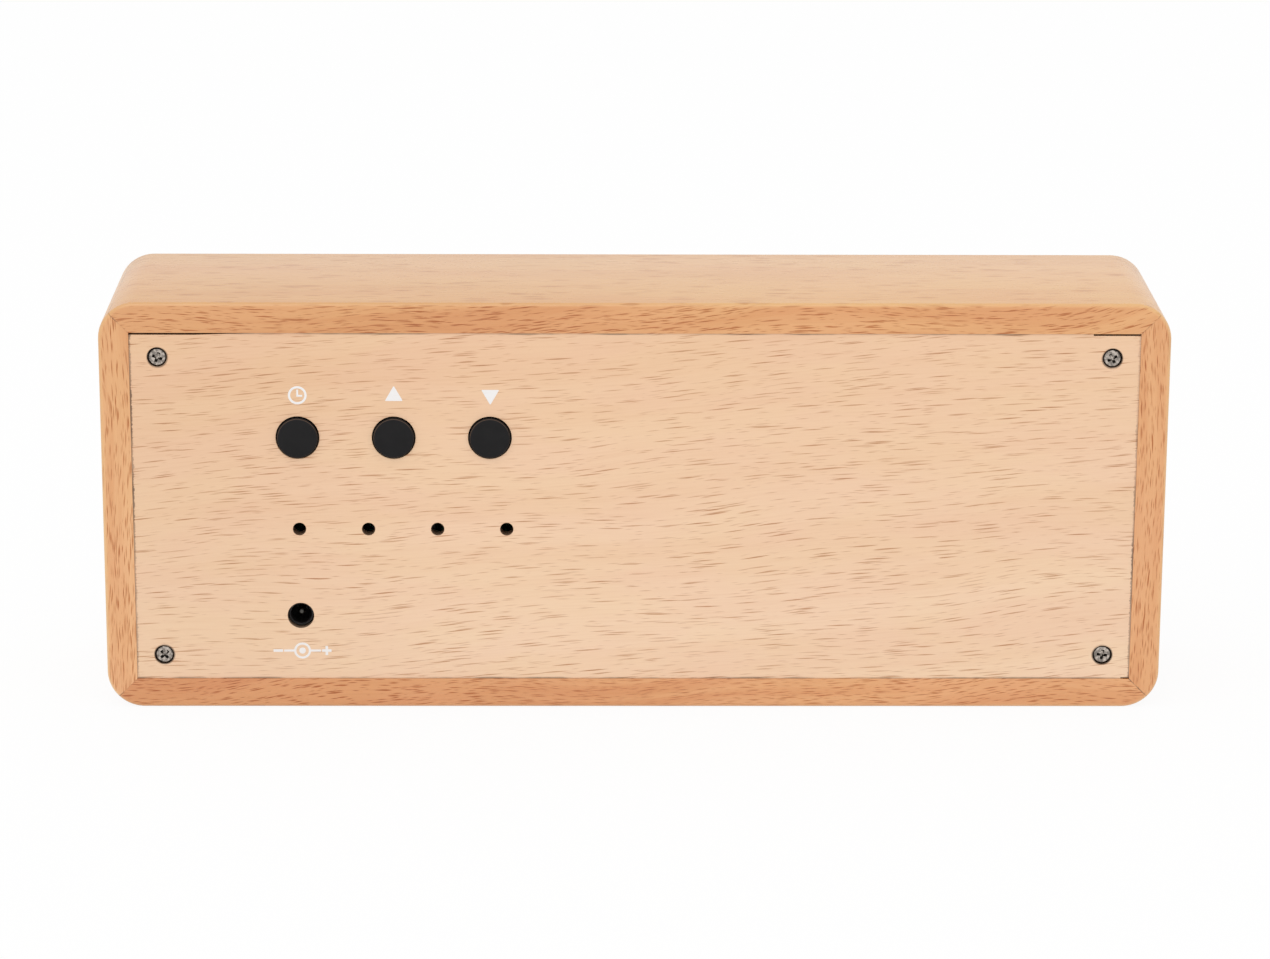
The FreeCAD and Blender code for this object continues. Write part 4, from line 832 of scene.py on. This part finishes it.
class CLOCK_OT_frame_boards(bpy.types.Operator):
    """Four mitred boards of the case, with rounded outer corners and edges"""

    bl_idname = "clock.frame_boards"
    bl_label = "Frame boards"

    def execute(self, context):
        case = context.scene.clock_case
        low, high = CASE_LOW, CASE_HIGH
        inner_x = high.x - case.wall
        inner_low, inner_high = low.z + case.wall, high.z - case.wall
        ring = new_box("case_ring", low, high)
        bevel_edges(ring, lambda a, b: abs(a.y - b.y) > 10 * MM, case.corner_radius, 18)
        near = 0.01 * MM
        bevel_edges(ring, lambda a, b: abs(abs(a.y) - high.y) + abs(a.y - b.y) < near, case.edge_radius, 5)
        past = 10 * MM
        low, high = (-inner_x, low.y - past, inner_low), (inner_x, high.y + past, inner_high)
        cut_away(ring, new_box("opening", low, high))
        boards = (("top", 0, 1), ("bottom", 0, -1), ("left", -1, 0), ("right", 1, 0))
        for seed, (name, out_x, out_z) in enumerate(boards, 1):
            board = copy_of(ring, f"board_{name}", (0, 0, 0))
            upright = out_z == 0
            for side in (-1, 1):
                corner_x, corner_z = (out_x, side) if upright else (side, out_z)
                corner = Vector((corner_x * inner_x, 0, inner_high if corner_z > 0 else inner_low))
                normal = Vector((-out_x, 0, side) if upright else (side, 0, -out_z)).normalized()
                keep_side(board, corner - normal * case.joint_gap / 2, normal)
            if not upright:
                keep_side(board, (0, 0, CASE_MIDDLE_Z), (0, 0, -out_z))
            tones = [[a * b for a, b in zip(case.board_tone, factors)] for factors in TONES[name]]
            tilt = 0.0 if upright else math.radians(-5)
            material = beech(f"beech_{name}", tones, case, upright=upright, tilt=tilt, seed=seed)
            dress(board, material, "frame_beech", f"frame_{name}")
        bpy.data.objects.remove(ring)
        return {"FINISHED"}


def panel_box(name, case, low_y, high_y):
    half_width = CASE_HIGH.x - case.wall - case.panel_gap
    bottom = CASE_LOW.z + case.wall + case.panel_gap
    top = CASE_HIGH.z - case.wall - case.panel_gap
    return new_box(name, (-half_width, low_y, bottom), (half_width, high_y, top))


def lamp_places():
    """The lamps' axes, one for each solid of the lamps' node."""
    inner = LAMP_COLUMNS_MIDDLE - LAMP_COLUMNS_APART / 2
    outer = LAMP_COLUMNS_MIDDLE + LAMP_COLUMNS_APART / 2
    columns = ((-outer, 2), (-inner, 4), (inner, 3), (outer, 4))
    return [(x * MM, (LAMP_LOW + LAMP_PITCH * row) * MM) for x, rows in columns for row in range(rows)]


class CLOCK_OT_panels(bpy.types.Operator):
    """Back panel with its holes and sunk screw seats, and front panel with a hole for each lamp"""

    bl_idname = "clock.panels"
    bl_label = "Panels"

    def execute(self, context):
        case, screws = context.scene.clock_case, context.scene.clock_screws
        through = 4 * MM
        back = panel_box("panel_back", case, BACK_LOW.y, BACK_HIGH.y)
        self.cut_slots(back, CASE_HIGH.z - case.wall)
        holes = [(*middle_of(f"{button}_button_cap"), BUTTON_HOLE * MM, through) for button in BUTTONS]
        for step in range(4):
            holes.append(((FIRST_HOLE_X - SOUND_PITCH * step) * MM, SOUND_Z * MM, SOUND_HOLE * MM, through))
        holes.append((FIRST_HOLE_X * MM, JACK_Z * MM, JACK_HOLE * MM, through))
        for x in (-SCREW_X, SCREW_X):
            for z in SCREW_ROWS:
                holes.append((x * MM, z * MM, screws.head / 2 + screws.seat_gap, SEAT_DEPTH * MM))
                holes.append((x * MM, z * MM, SCREW_HOLE * MM, through))
        self.drill(back, holes, BACK_FACE, 1, case.hole_edge)
        front = panel_box("panel_front", case, FRONT_LOW.y, FRONT_HIGH.y)
        holes = [(x, z, LAMP_HOLE * MM, through) for x, z in lamp_places()]
        self.drill(front, holes, FRONT_FACE, -1, case.hole_edge)
        tones = (case.panel_tone, case.panel_tone)
        for panel, side, tilt, seed in ((back, "back", -4, 7), (front, "front", 3, 9)):
            name, tilt = f"beech_panel_{side}", math.radians(tilt)
            material = beech(name, tones, case, tilt=tilt, seed=seed, panel=True)
            dress(panel, material, "panel_beech", f"{side}_panel")
        return {"FINISHED"}

    def cut_slots(self, panel, top):
        """Cuts the places where the panel stops short; the first one tapers away under the top board."""
        slots = []
        for low_x, high_x, low_z, high_z in PANEL_SLOTS:
            low = (low_x * MM, BACK_FACE - 5 * MM, low_z * MM)
            slots.append(new_box("slot", low, (high_x * MM, BACK_FACE + MM, high_z * MM)))
        for point in slots[0].data.vertices:
            if point.co.x < 75 * MM and point.co.z < top:
                point.co.z = top - 0.02 * MM
        cut_away(panel, *slots)

    def drill(self, panel, holes, face, outwards, edge):
        """Cuts round holes with slightly broken rims: each has an x, a z, a radius and a depth."""
        for x, z, radius, depth in holes:
            rings = [
                (radius, face - outwards * depth),
                (radius, face - outwards * edge),
                (radius + edge, face),
                (radius + edge * 1.5, face + outwards * edge * 0.5),
            ]
            cut_away(panel, new_turned("hole", x, z, rings, 96))


class CLOCK_OT_panel_screws(bpy.types.Operator):
    """Four countersunk screws with a cross recess, each turned its own way"""

    bl_idname = "clock.panel_screws"
    bl_label = "Panel screws"

    def execute(self, context):
        screw = context.scene.clock_screws
        low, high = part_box("back_panel_screws")
        out_x = high.x - screw.head / 2
        middle_z = (low.z + high.z) / 2
        out_z = (high.z - low.z) / 2 - screw.head / 2
        material = screw_nickel("nickel_screw", screw.tone, screw.recess_depth)
        first = self.screw(out_x, middle_z + out_z, low.y, high.y, screw)
        places = ((1, 1, 20), (-1, 1, 62), (1, -1, 48), (-1, -1, 8))
        for number, (side_x, side_z, turn) in enumerate(places, 1):
            x, z = side_x * out_x, middle_z + side_z * out_z
            piece = copy_of(first, f"panel_screw_{number}", (x - out_x, 0, z - middle_z - out_z))
            self.turn(piece, x, z, math.radians(turn))
            dress(piece, material, "screw_nickel", "back_panel_screws")
        bpy.data.objects.remove(first)
        return {"FINISHED"}

    def screw(self, x, z, end, face, screw):
        """A screw with a ribbed shank, a bevelled head and a cross recess."""
        seat = face - 1 * MM
        head, shank = screw.head / 2, screw.shank / 2
        core = shank * 0.8
        y = end + 0.9 * MM
        rings = [(shank * 0.3, end), (core, y)]
        while y < seat - 1.2 * MM:
            rings += [(shank, y + 0.2 * MM), (core, y + 0.45 * MM)]
            y += 0.5 * MM
        rings += [(core, seat - 0.3 * MM), (shank, seat), (head * 0.9, seat), (head, seat + 0.25 * MM)]
        rings += [(head, face - 0.32 * MM), (head - 0.05 * MM, face - 0.22 * MM)]
        rings += [(head - 0.32 * MM, face - 0.04 * MM), (head - 0.45 * MM, face), (head * 0.5, face)]
        piece = new_turned("panel_screw", x, z, rings, 48)
        cross, other = (self.blade(x, face, z, screw.recess_depth) for _ in range(2))
        self.turn(other, x, z, math.pi / 2)
        fuse(cross, other)
        cut_away(piece, cross)
        return piece

    def blade(self, x, face, z, depth):
        """One arm of the cross, which narrows towards its bottom."""
        arm, width = 1.12 * MM, 0.30 * MM
        blade = new_box("blade", (x - arm, face - depth, z - width), (x + arm, face + 0.2 * MM, z + width))
        for point in blade.data.vertices:
            if point.co.y < face:
                point.co.x = x + (point.co.x - x) * 0.45
                point.co.z = z + (point.co.z - z) * 0.6
        return blade

    def turn(self, piece, x, z, angle):
        with editing(piece):
            bpy.ops.transform.rotate(value=angle, orient_axis="Y", center_override=(x, BACK_FACE, z))


class CLOCK_OT_button_caps(bpy.types.Operator):
    """Three round button caps, each with a flange behind the panel and a bore for its plunger"""

    bl_idname = "clock.button_caps"
    bl_label = "Button caps"

    def execute(self, context):
        button = context.scene.clock_buttons
        material = button_plastic("black_button", button.tone, button.diameter / 2)
        first = None
        for name in BUTTONS:
            node = f"{name}_button_cap"
            low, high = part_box(node)
            x, z = middle_of(node)
            if first is None:
                first_x, first_z = x, z
                first = piece = self.cap(f"button_{name}", x, z, low.y, high.y, button)
            else:
                piece = copy_of(first, f"button_{name}", (x - first_x, 0, z - first_z))
            dress(piece, material, "button_black", node, body=f"{name}_button")
        return {"FINISHED"}

    def cap(self, name, x, z, back, face, button):
        """A crowned cap on its flange, with the bore that grips the plunger."""
        radius, flange = button.diameter / 2, button.flange / 2
        flange_top = back + 0.8 * MM
        crown = 0.06 * MM
        rings = [(flange - 0.1 * MM, back), (flange, back + 0.1 * MM), (flange, flange_top - 0.1 * MM)]
        rings += [(flange - 0.1 * MM, flange_top), (radius, flange_top)]
        rings += rounded_rim(radius, face - crown, button.edge_radius, -1, 6)
        for part in (0.75, 0.5, 0.25):
            rings.append((radius * part, face - crown * part * part))
        cap = new_turned(name, x, z, rings, 96)
        bore = 1.78 * MM
        cut_away(cap, new_turned("bore", x, z, [(bore, back - MM), (bore, back + 3.2 * MM)], 48))
        return cap


class CLOCK_OT_power_jack(bpy.types.Operator):
    """The power jack's moulded body with its bore, and its plated centre pin"""

    bl_idname = "clock.power_jack"
    bl_label = "Power jack"

    def execute(self, context):
        jack = context.scene.clock_jack
        low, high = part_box("power_jack_body")
        pin_low, pin_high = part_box("power_jack_pin")
        x, z = (low.x + high.x) / 2, JACK_Z * MM
        side, shoulder = 4 * MM, low.y + 8.5 * MM
        body = new_box("jack_body", (x - side, low.y, z - side), (x + side, shoulder, z + side))
        bevel_edges(body, lambda a, b: abs(a.y - b.y) > MM, 0.8 * MM, 3)
        bevel_edges(body, lambda a, b: min(a.y, b.y) > shoulder - 0.01 * MM, 0.15 * MM, 2)
        nose, bore = jack.nose / 2, jack.bore / 2
        rings = [(nose, shoulder - MM), *rounded_rim(nose, high.y, 0.15 * MM, -1, 3)]
        fuse(body, new_turned("nose", x, z, rings, 64))
        rings = [(bore, pin_low.y + 5.9 * MM), (bore, high.y - 0.25 * MM)]
        rings += [(bore + 0.2 * MM, high.y), (bore + 0.3 * MM, high.y + 0.2 * MM)]
        cut_away(body, new_turned("bore", x, z, rings, 64))
        material = moulded("black_jack", jack.tone, 0.36, 0.2, specular=0.6)
        dress(body, material, "jack_black", "power_jack_body")

        radius, root = jack.pin / 2, 0.4 * MM
        rings = [(root, pin_low.y), (root, pin_low.y + 3.0 * MM), (radius, pin_low.y + 3.2 * MM)]
        rings += rounded_rim(radius, pin_high.y, radius * 0.8, -1, 5)
        pin = new_turned("jack_centre_pin", x, z, rings, 48)
        dress(pin, plated("nickel_pin", jack.pin_tone_in_shade, 0.45), "jack_nickel", "power_jack_pin")
        return {"FINISHED"}


class CLOCK_OT_lamps(bpy.types.Operator):
    """Round lamps with a domed end and a foot, one copied to every place"""

    bl_idname = "clock.lamps"
    bl_label = "Lamps"

    def execute(self, context):
        lamp = context.scene.clock_lamps
        low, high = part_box("led_lenses")
        tip, foot = low.y, high.y
        radius, rim = lamp.diameter / 2, lamp.rim / 2
        rings = [(rim - 0.1 * MM, foot), (rim, foot - 0.1 * MM), (rim, foot - 0.9 * MM)]
        rings += [(rim - 0.1 * MM, foot - MM), (radius, foot - MM)]
        steps = 9
        for step in range(steps):
            turn = math.pi / 2 * step / steps
            rings.append((radius * math.cos(turn), tip + radius * (1 - math.sin(turn))))
        rings.append((radius * 0.03, tip))
        material = tinted_epoxy("red_epoxy", lamp.tone)
        places = lamp_places()
        x, z = places[0]
        lamps = [new_turned("lamp_01", x, z, rings, 40)]
        for number, (to_x, to_z) in enumerate(places[1:], 2):
            lamps.append(copy_of(lamps[0], f"lamp_{number:02d}", (to_x - x, 0, to_z - z)))
        for piece in lamps:
            dress(piece, material, "lamp_red", "led_lenses")
        return {"FINISHED"}


class CLOCK_OT_printed_marks(bpy.types.Operator):
    """Plain white signs over the buttons and under the jack"""

    bl_idname = "clock.printed_marks"
    bl_label = "Printed marks"

    def execute(self, context):
        mark = context.scene.clock_marks
        self.low = BACK_FACE - 0.01 * MM
        self.high = BACK_FACE + mark.thickness
        material = printed_ink("white_ink", mark.tone)
        line, fine = mark.stroke, mark.stroke * 0.85
        places = {name: (x * MM, z * MM) for name, (x, z) in MARKS.items()}
        x, z = places["set"]
        dial = self.ring("mark_set", x, z, 1.75 * MM, fine)
        hands = {(0, 1): 1.0 * MM, (-1, 0): 0.75 * MM}
        join_loose(dial, self.arms(x, z - 0.1 * MM, line * 0.7, hands))
        up = self.triangle("mark_up", *places["up"], 0)
        down = self.triangle("mark_down", *places["down"], math.pi)
        x, z = places["polarity"]
        polarity = self.ring("mark_polarity", x, z, 1.6 * MM, fine)
        for side in (-1, 1):
            fuse(polarity, self.bar(x + side * 2.45 * MM, z, 2.1 * MM, fine))
        aside, arm = 4.6 * MM, 0.65 * MM
        level = {(1, 0): arm, (-1, 0): arm}
        plus = self.arms(x - aside, z, line, {**level, (0, 1): arm, (0, -1): arm})
        minus = self.arms(x + aside, z, line, level)
        join_loose(polarity, self.disc("dot", x, z, 0.62 * MM, 40), plus, minus)
        for piece in (dial, up, down, polarity):
            dress(piece, material, None)
        return {"FINISHED"}

    def arms(self, x, z, line, reaches):
        """A small square with an arm to each side that reaches names by its direction."""
        piece = self.bar(x, z, line, line)
        middle = Vector((x, (self.low + self.high) / 2, z))
        for (way_x, way_z), reach in reaches.items():
            way = Vector((way_x, 0, way_z))
            side = middle + way * line / 2
            nearest = min(piece.data.polygons, key=lambda face: (face.center - side).length)
            select_only(piece, "polygons", [nearest.index])
            with editing(piece, everything=False):
                bpy.ops.mesh.extrude_region_move(TRANSFORM_OT_translate={"value": way * reach})
        return piece

    def disc(self, name, x, z, radius, sides, past=0.0):
        return new_turned(name, x, z, [(radius, self.low - past), (radius, self.high + past)], sides)

    def ring(self, name, x, z, radius, line):
        piece = self.disc(name, x, z, radius, 72)
        cut_away(piece, self.disc("inner", x, z, radius - line, 72, MM))
        return piece

    def bar(self, x, z, width, height):
        across, up = width / 2, height / 2
        return new_box("bar", (x - across, self.low, z - up), (x + across, self.high, z + up))

    def triangle(self, name, x, z, turn):
        """A solid triangle with slightly rounded corners; it points up unless it is turned."""
        piece = new_disc(name, x, self.low, z, 1.95 * MM, 3, turn)
        with editing(piece):
            bpy.ops.mesh.bevel(offset=0.22 * MM, segments=4, affect="VERTICES")
            bpy.ops.mesh.select_all(action="SELECT")
            bpy.ops.mesh.extrude_region_move(TRANSFORM_OT_translate={"value": (0, self.high - self.low, 0)})
        return piece


class CLOCK_OT_inner_finishes(bpy.types.Operator):
    """Finishes of everything that the closed case hides"""

    bl_idname = "clock.inner_finishes"
    bl_label = "Inner finishes"

    def execute(self, context):
        case = context.scene.clock_case
        made = {}
        for row in frame["record"]["subparts"]:
            node = frame["nodes"][row["node"]]
            slot = row["material_slot"]
            if slot not in made:
                made[slot] = self.finish(slot, case)
            node.data.materials.clear()
            node.data.materials.append(made[slot])
        return {"FINISHED"}

    def finish(self, slot, case):
        entry = next(row for row in frame["record"]["materials"] if row["slot"] == slot)
        tone = entry["base_color"][:3]
        kind = entry["class"]
        if kind == "wood":
            return beech(f"inner_{slot}", (tone, tone), case, upright=slot == "block_beech", seed=12)
        if kind in ("brushed_steel", "brass", "aluminium"):
            return plated(f"inner_{slot}", tone)
        if slot == "board_green":
            return self.circuit_board(tone)
        if slot == "ribbon_grey":
            return self.ribbed(tone)
        if kind == "gloss_plastic":
            return moulded(f"inner_{slot}", tone, 0.12, 0.5, 0.5)
        return moulded(f"inner_{slot}", tone)

    def circuit_board(self, tone):
        """Green solder resist over copper tracks."""
        graph = new_material("inner_board_green", tone)
        x, y, z = graph.split(graph.place())
        lane = graph.noise(graph.join(x * 0.05, y, z * 0.05), 1.0, 1.0)
        tracks = graph.maths("FRACT", x * 0.31 + lane * 2.0)
        raised = graph.step(abs(tracks - 0.5), 0.16, 0.10)
        return graph.surface(
            Base_Color=graph.mix(raised, rgba(tone), rgba(tone, 1.9)),
            Roughness=0.25 + raised * 0.08,
            Coat_Weight=0.3,
            Normal=graph.bump(raised, 0.035),
        )

    def ribbed(self, tone):
        """Flat cable: a rib for every wire, with painted shade in the grooves and painted light on the
        crests.
        """
        graph = new_material("inner_ribbon_grey", tone)
        rib = graph.maths("SINE", graph.split(graph.place())[2] * (2 * math.pi / WIRE_PITCH))
        return graph.surface(
            Base_Color=graph.shades(rib, -1.0, 0.2, tone, 0.6, 1.1),
            Roughness=0.45 + rib * 0.05,
            Normal=graph.bump(rib, 0.2),
        )


class CLOCK_OT_stage(bpy.types.Operator):
    """Camera, white floor, sky and a large soft lamp"""

    bl_idname = "clock.stage"
    bl_label = "Stage"

    def execute(self, context):
        stage = context.scene.clock_stage
        deselect()
        bpy.ops.object.camera_add(location=stage.place, rotation=(stage.pitch, stage.roll, stage.heading))
        camera = context.object
        camera.name = "camera"
        camera.data.lens = stage.focal_length
        camera.data.sensor_width = 36
        camera.data.clip_start = 0.01
        context.scene.camera = camera
        context.scene.view_settings.view_transform = "Standard"
        self.floor()
        self.sky(context.scene, stage.sky)
        self.lamp("key_lamp", Vector((0.30, 0.75, 1.25)), Vector((0, 0, 0.04)), 1.1, stage.key)
        return {"FINISHED"}

    def floor(self):
        deselect()
        bpy.ops.mesh.primitive_plane_add(size=12, location=(0, 0, -0.05 * MM))
        floor = bpy.context.object
        floor.name = "floor"
        graph = new_material("white_floor", (0.9, 0.9, 0.9))
        seen = graph.seen_straight()
        paint = graph.node("BsdfDiffuse", {}, Color=(0.93, 0.93, 0.93, 1))
        glow = graph.node("Emission", {}, Color=(1, 1, 1, 1), Strength=1.0)
        mixed = graph.node("MixShader", {}, Fac=seen * 0.92)
        graph.feed(mixed.inputs[1], paint.outputs[0])
        graph.feed(mixed.inputs[2], glow.outputs[0])
        graph.node("OutputMaterial", {}, Surface=mixed.outputs[0])
        floor.data.materials.append(graph.owner)

    def sky(self, scene, level):
        """A white world: full white where it is seen, and a little less as light."""
        scene.world = bpy.data.worlds.new("sky")
        graph = Graph(scene.world)
        strength = graph.seen_straight() * (1 - level) + level
        background = graph.node("Background", {}, Color=(1, 1, 1, 1), Strength=strength)
        graph.node("OutputWorld", {}, Surface=background.outputs[0])

    def lamp(self, name, place, target, size, power):
        deselect()
        aim = (target - place).to_track_quat("-Z", "Y").to_euler()
        bpy.ops.object.light_add(type="AREA", location=place, rotation=aim)
        lamp = bpy.context.object
        lamp.name = name
        lamp.data.size = size
        lamp.data.energy = power


STEPS = (
    CLOCK_OT_stage,
    CLOCK_OT_inner_finishes,
    CLOCK_OT_frame_boards,
    CLOCK_OT_panels,
    CLOCK_OT_panel_screws,
    CLOCK_OT_button_caps,
    CLOCK_OT_power_jack,
    CLOCK_OT_lamps,
    CLOCK_OT_printed_marks,
)
SETTINGS = {
    "clock_case": CaseSettings,
    "clock_buttons": ButtonSettings,
    "clock_screws": ScrewSettings,
    "clock_jack": JackSettings,
    "clock_lamps": LampSettings,
    "clock_marks": MarkSettings,
    "clock_stage": StageSettings,
}


class CLOCK_PT_pieces(bpy.types.Panel):
    bl_idname = "CLOCK_PT_pieces"
    bl_label = "Binary clock"
    bl_space_type = "VIEW_3D"
    bl_region_type = "UI"
    bl_category = "Clock"

    def draw(self, context):
        for step in STEPS:
            self.layout.operator(step.bl_idname)
        for group in SETTINGS:
            box = self.layout.box()
            settings = getattr(context.scene, group)
            for name in settings.__annotations__:
                box.prop(settings, name)


def register():
    for part in (*SETTINGS.values(), *STEPS, CLOCK_PT_pieces):
        bpy.utils.register_class(part)
    for name, group in SETTINGS.items():
        setattr(bpy.types.Scene, name, bpy.props.PointerProperty(type=group))


def unregister():
    for name in SETTINGS:
        delattr(bpy.types.Scene, name)
    for part in (CLOCK_PT_pieces, *reversed(STEPS), *reversed(tuple(SETTINGS.values()))):
        bpy.utils.unregister_class(part)


def main():
    register()
    for step in STEPS:
        group, name = step.bl_idname.split(".")
        getattr(getattr(bpy.ops, group), name)()
    deselect()


if __name__ == "__main__":
    main()
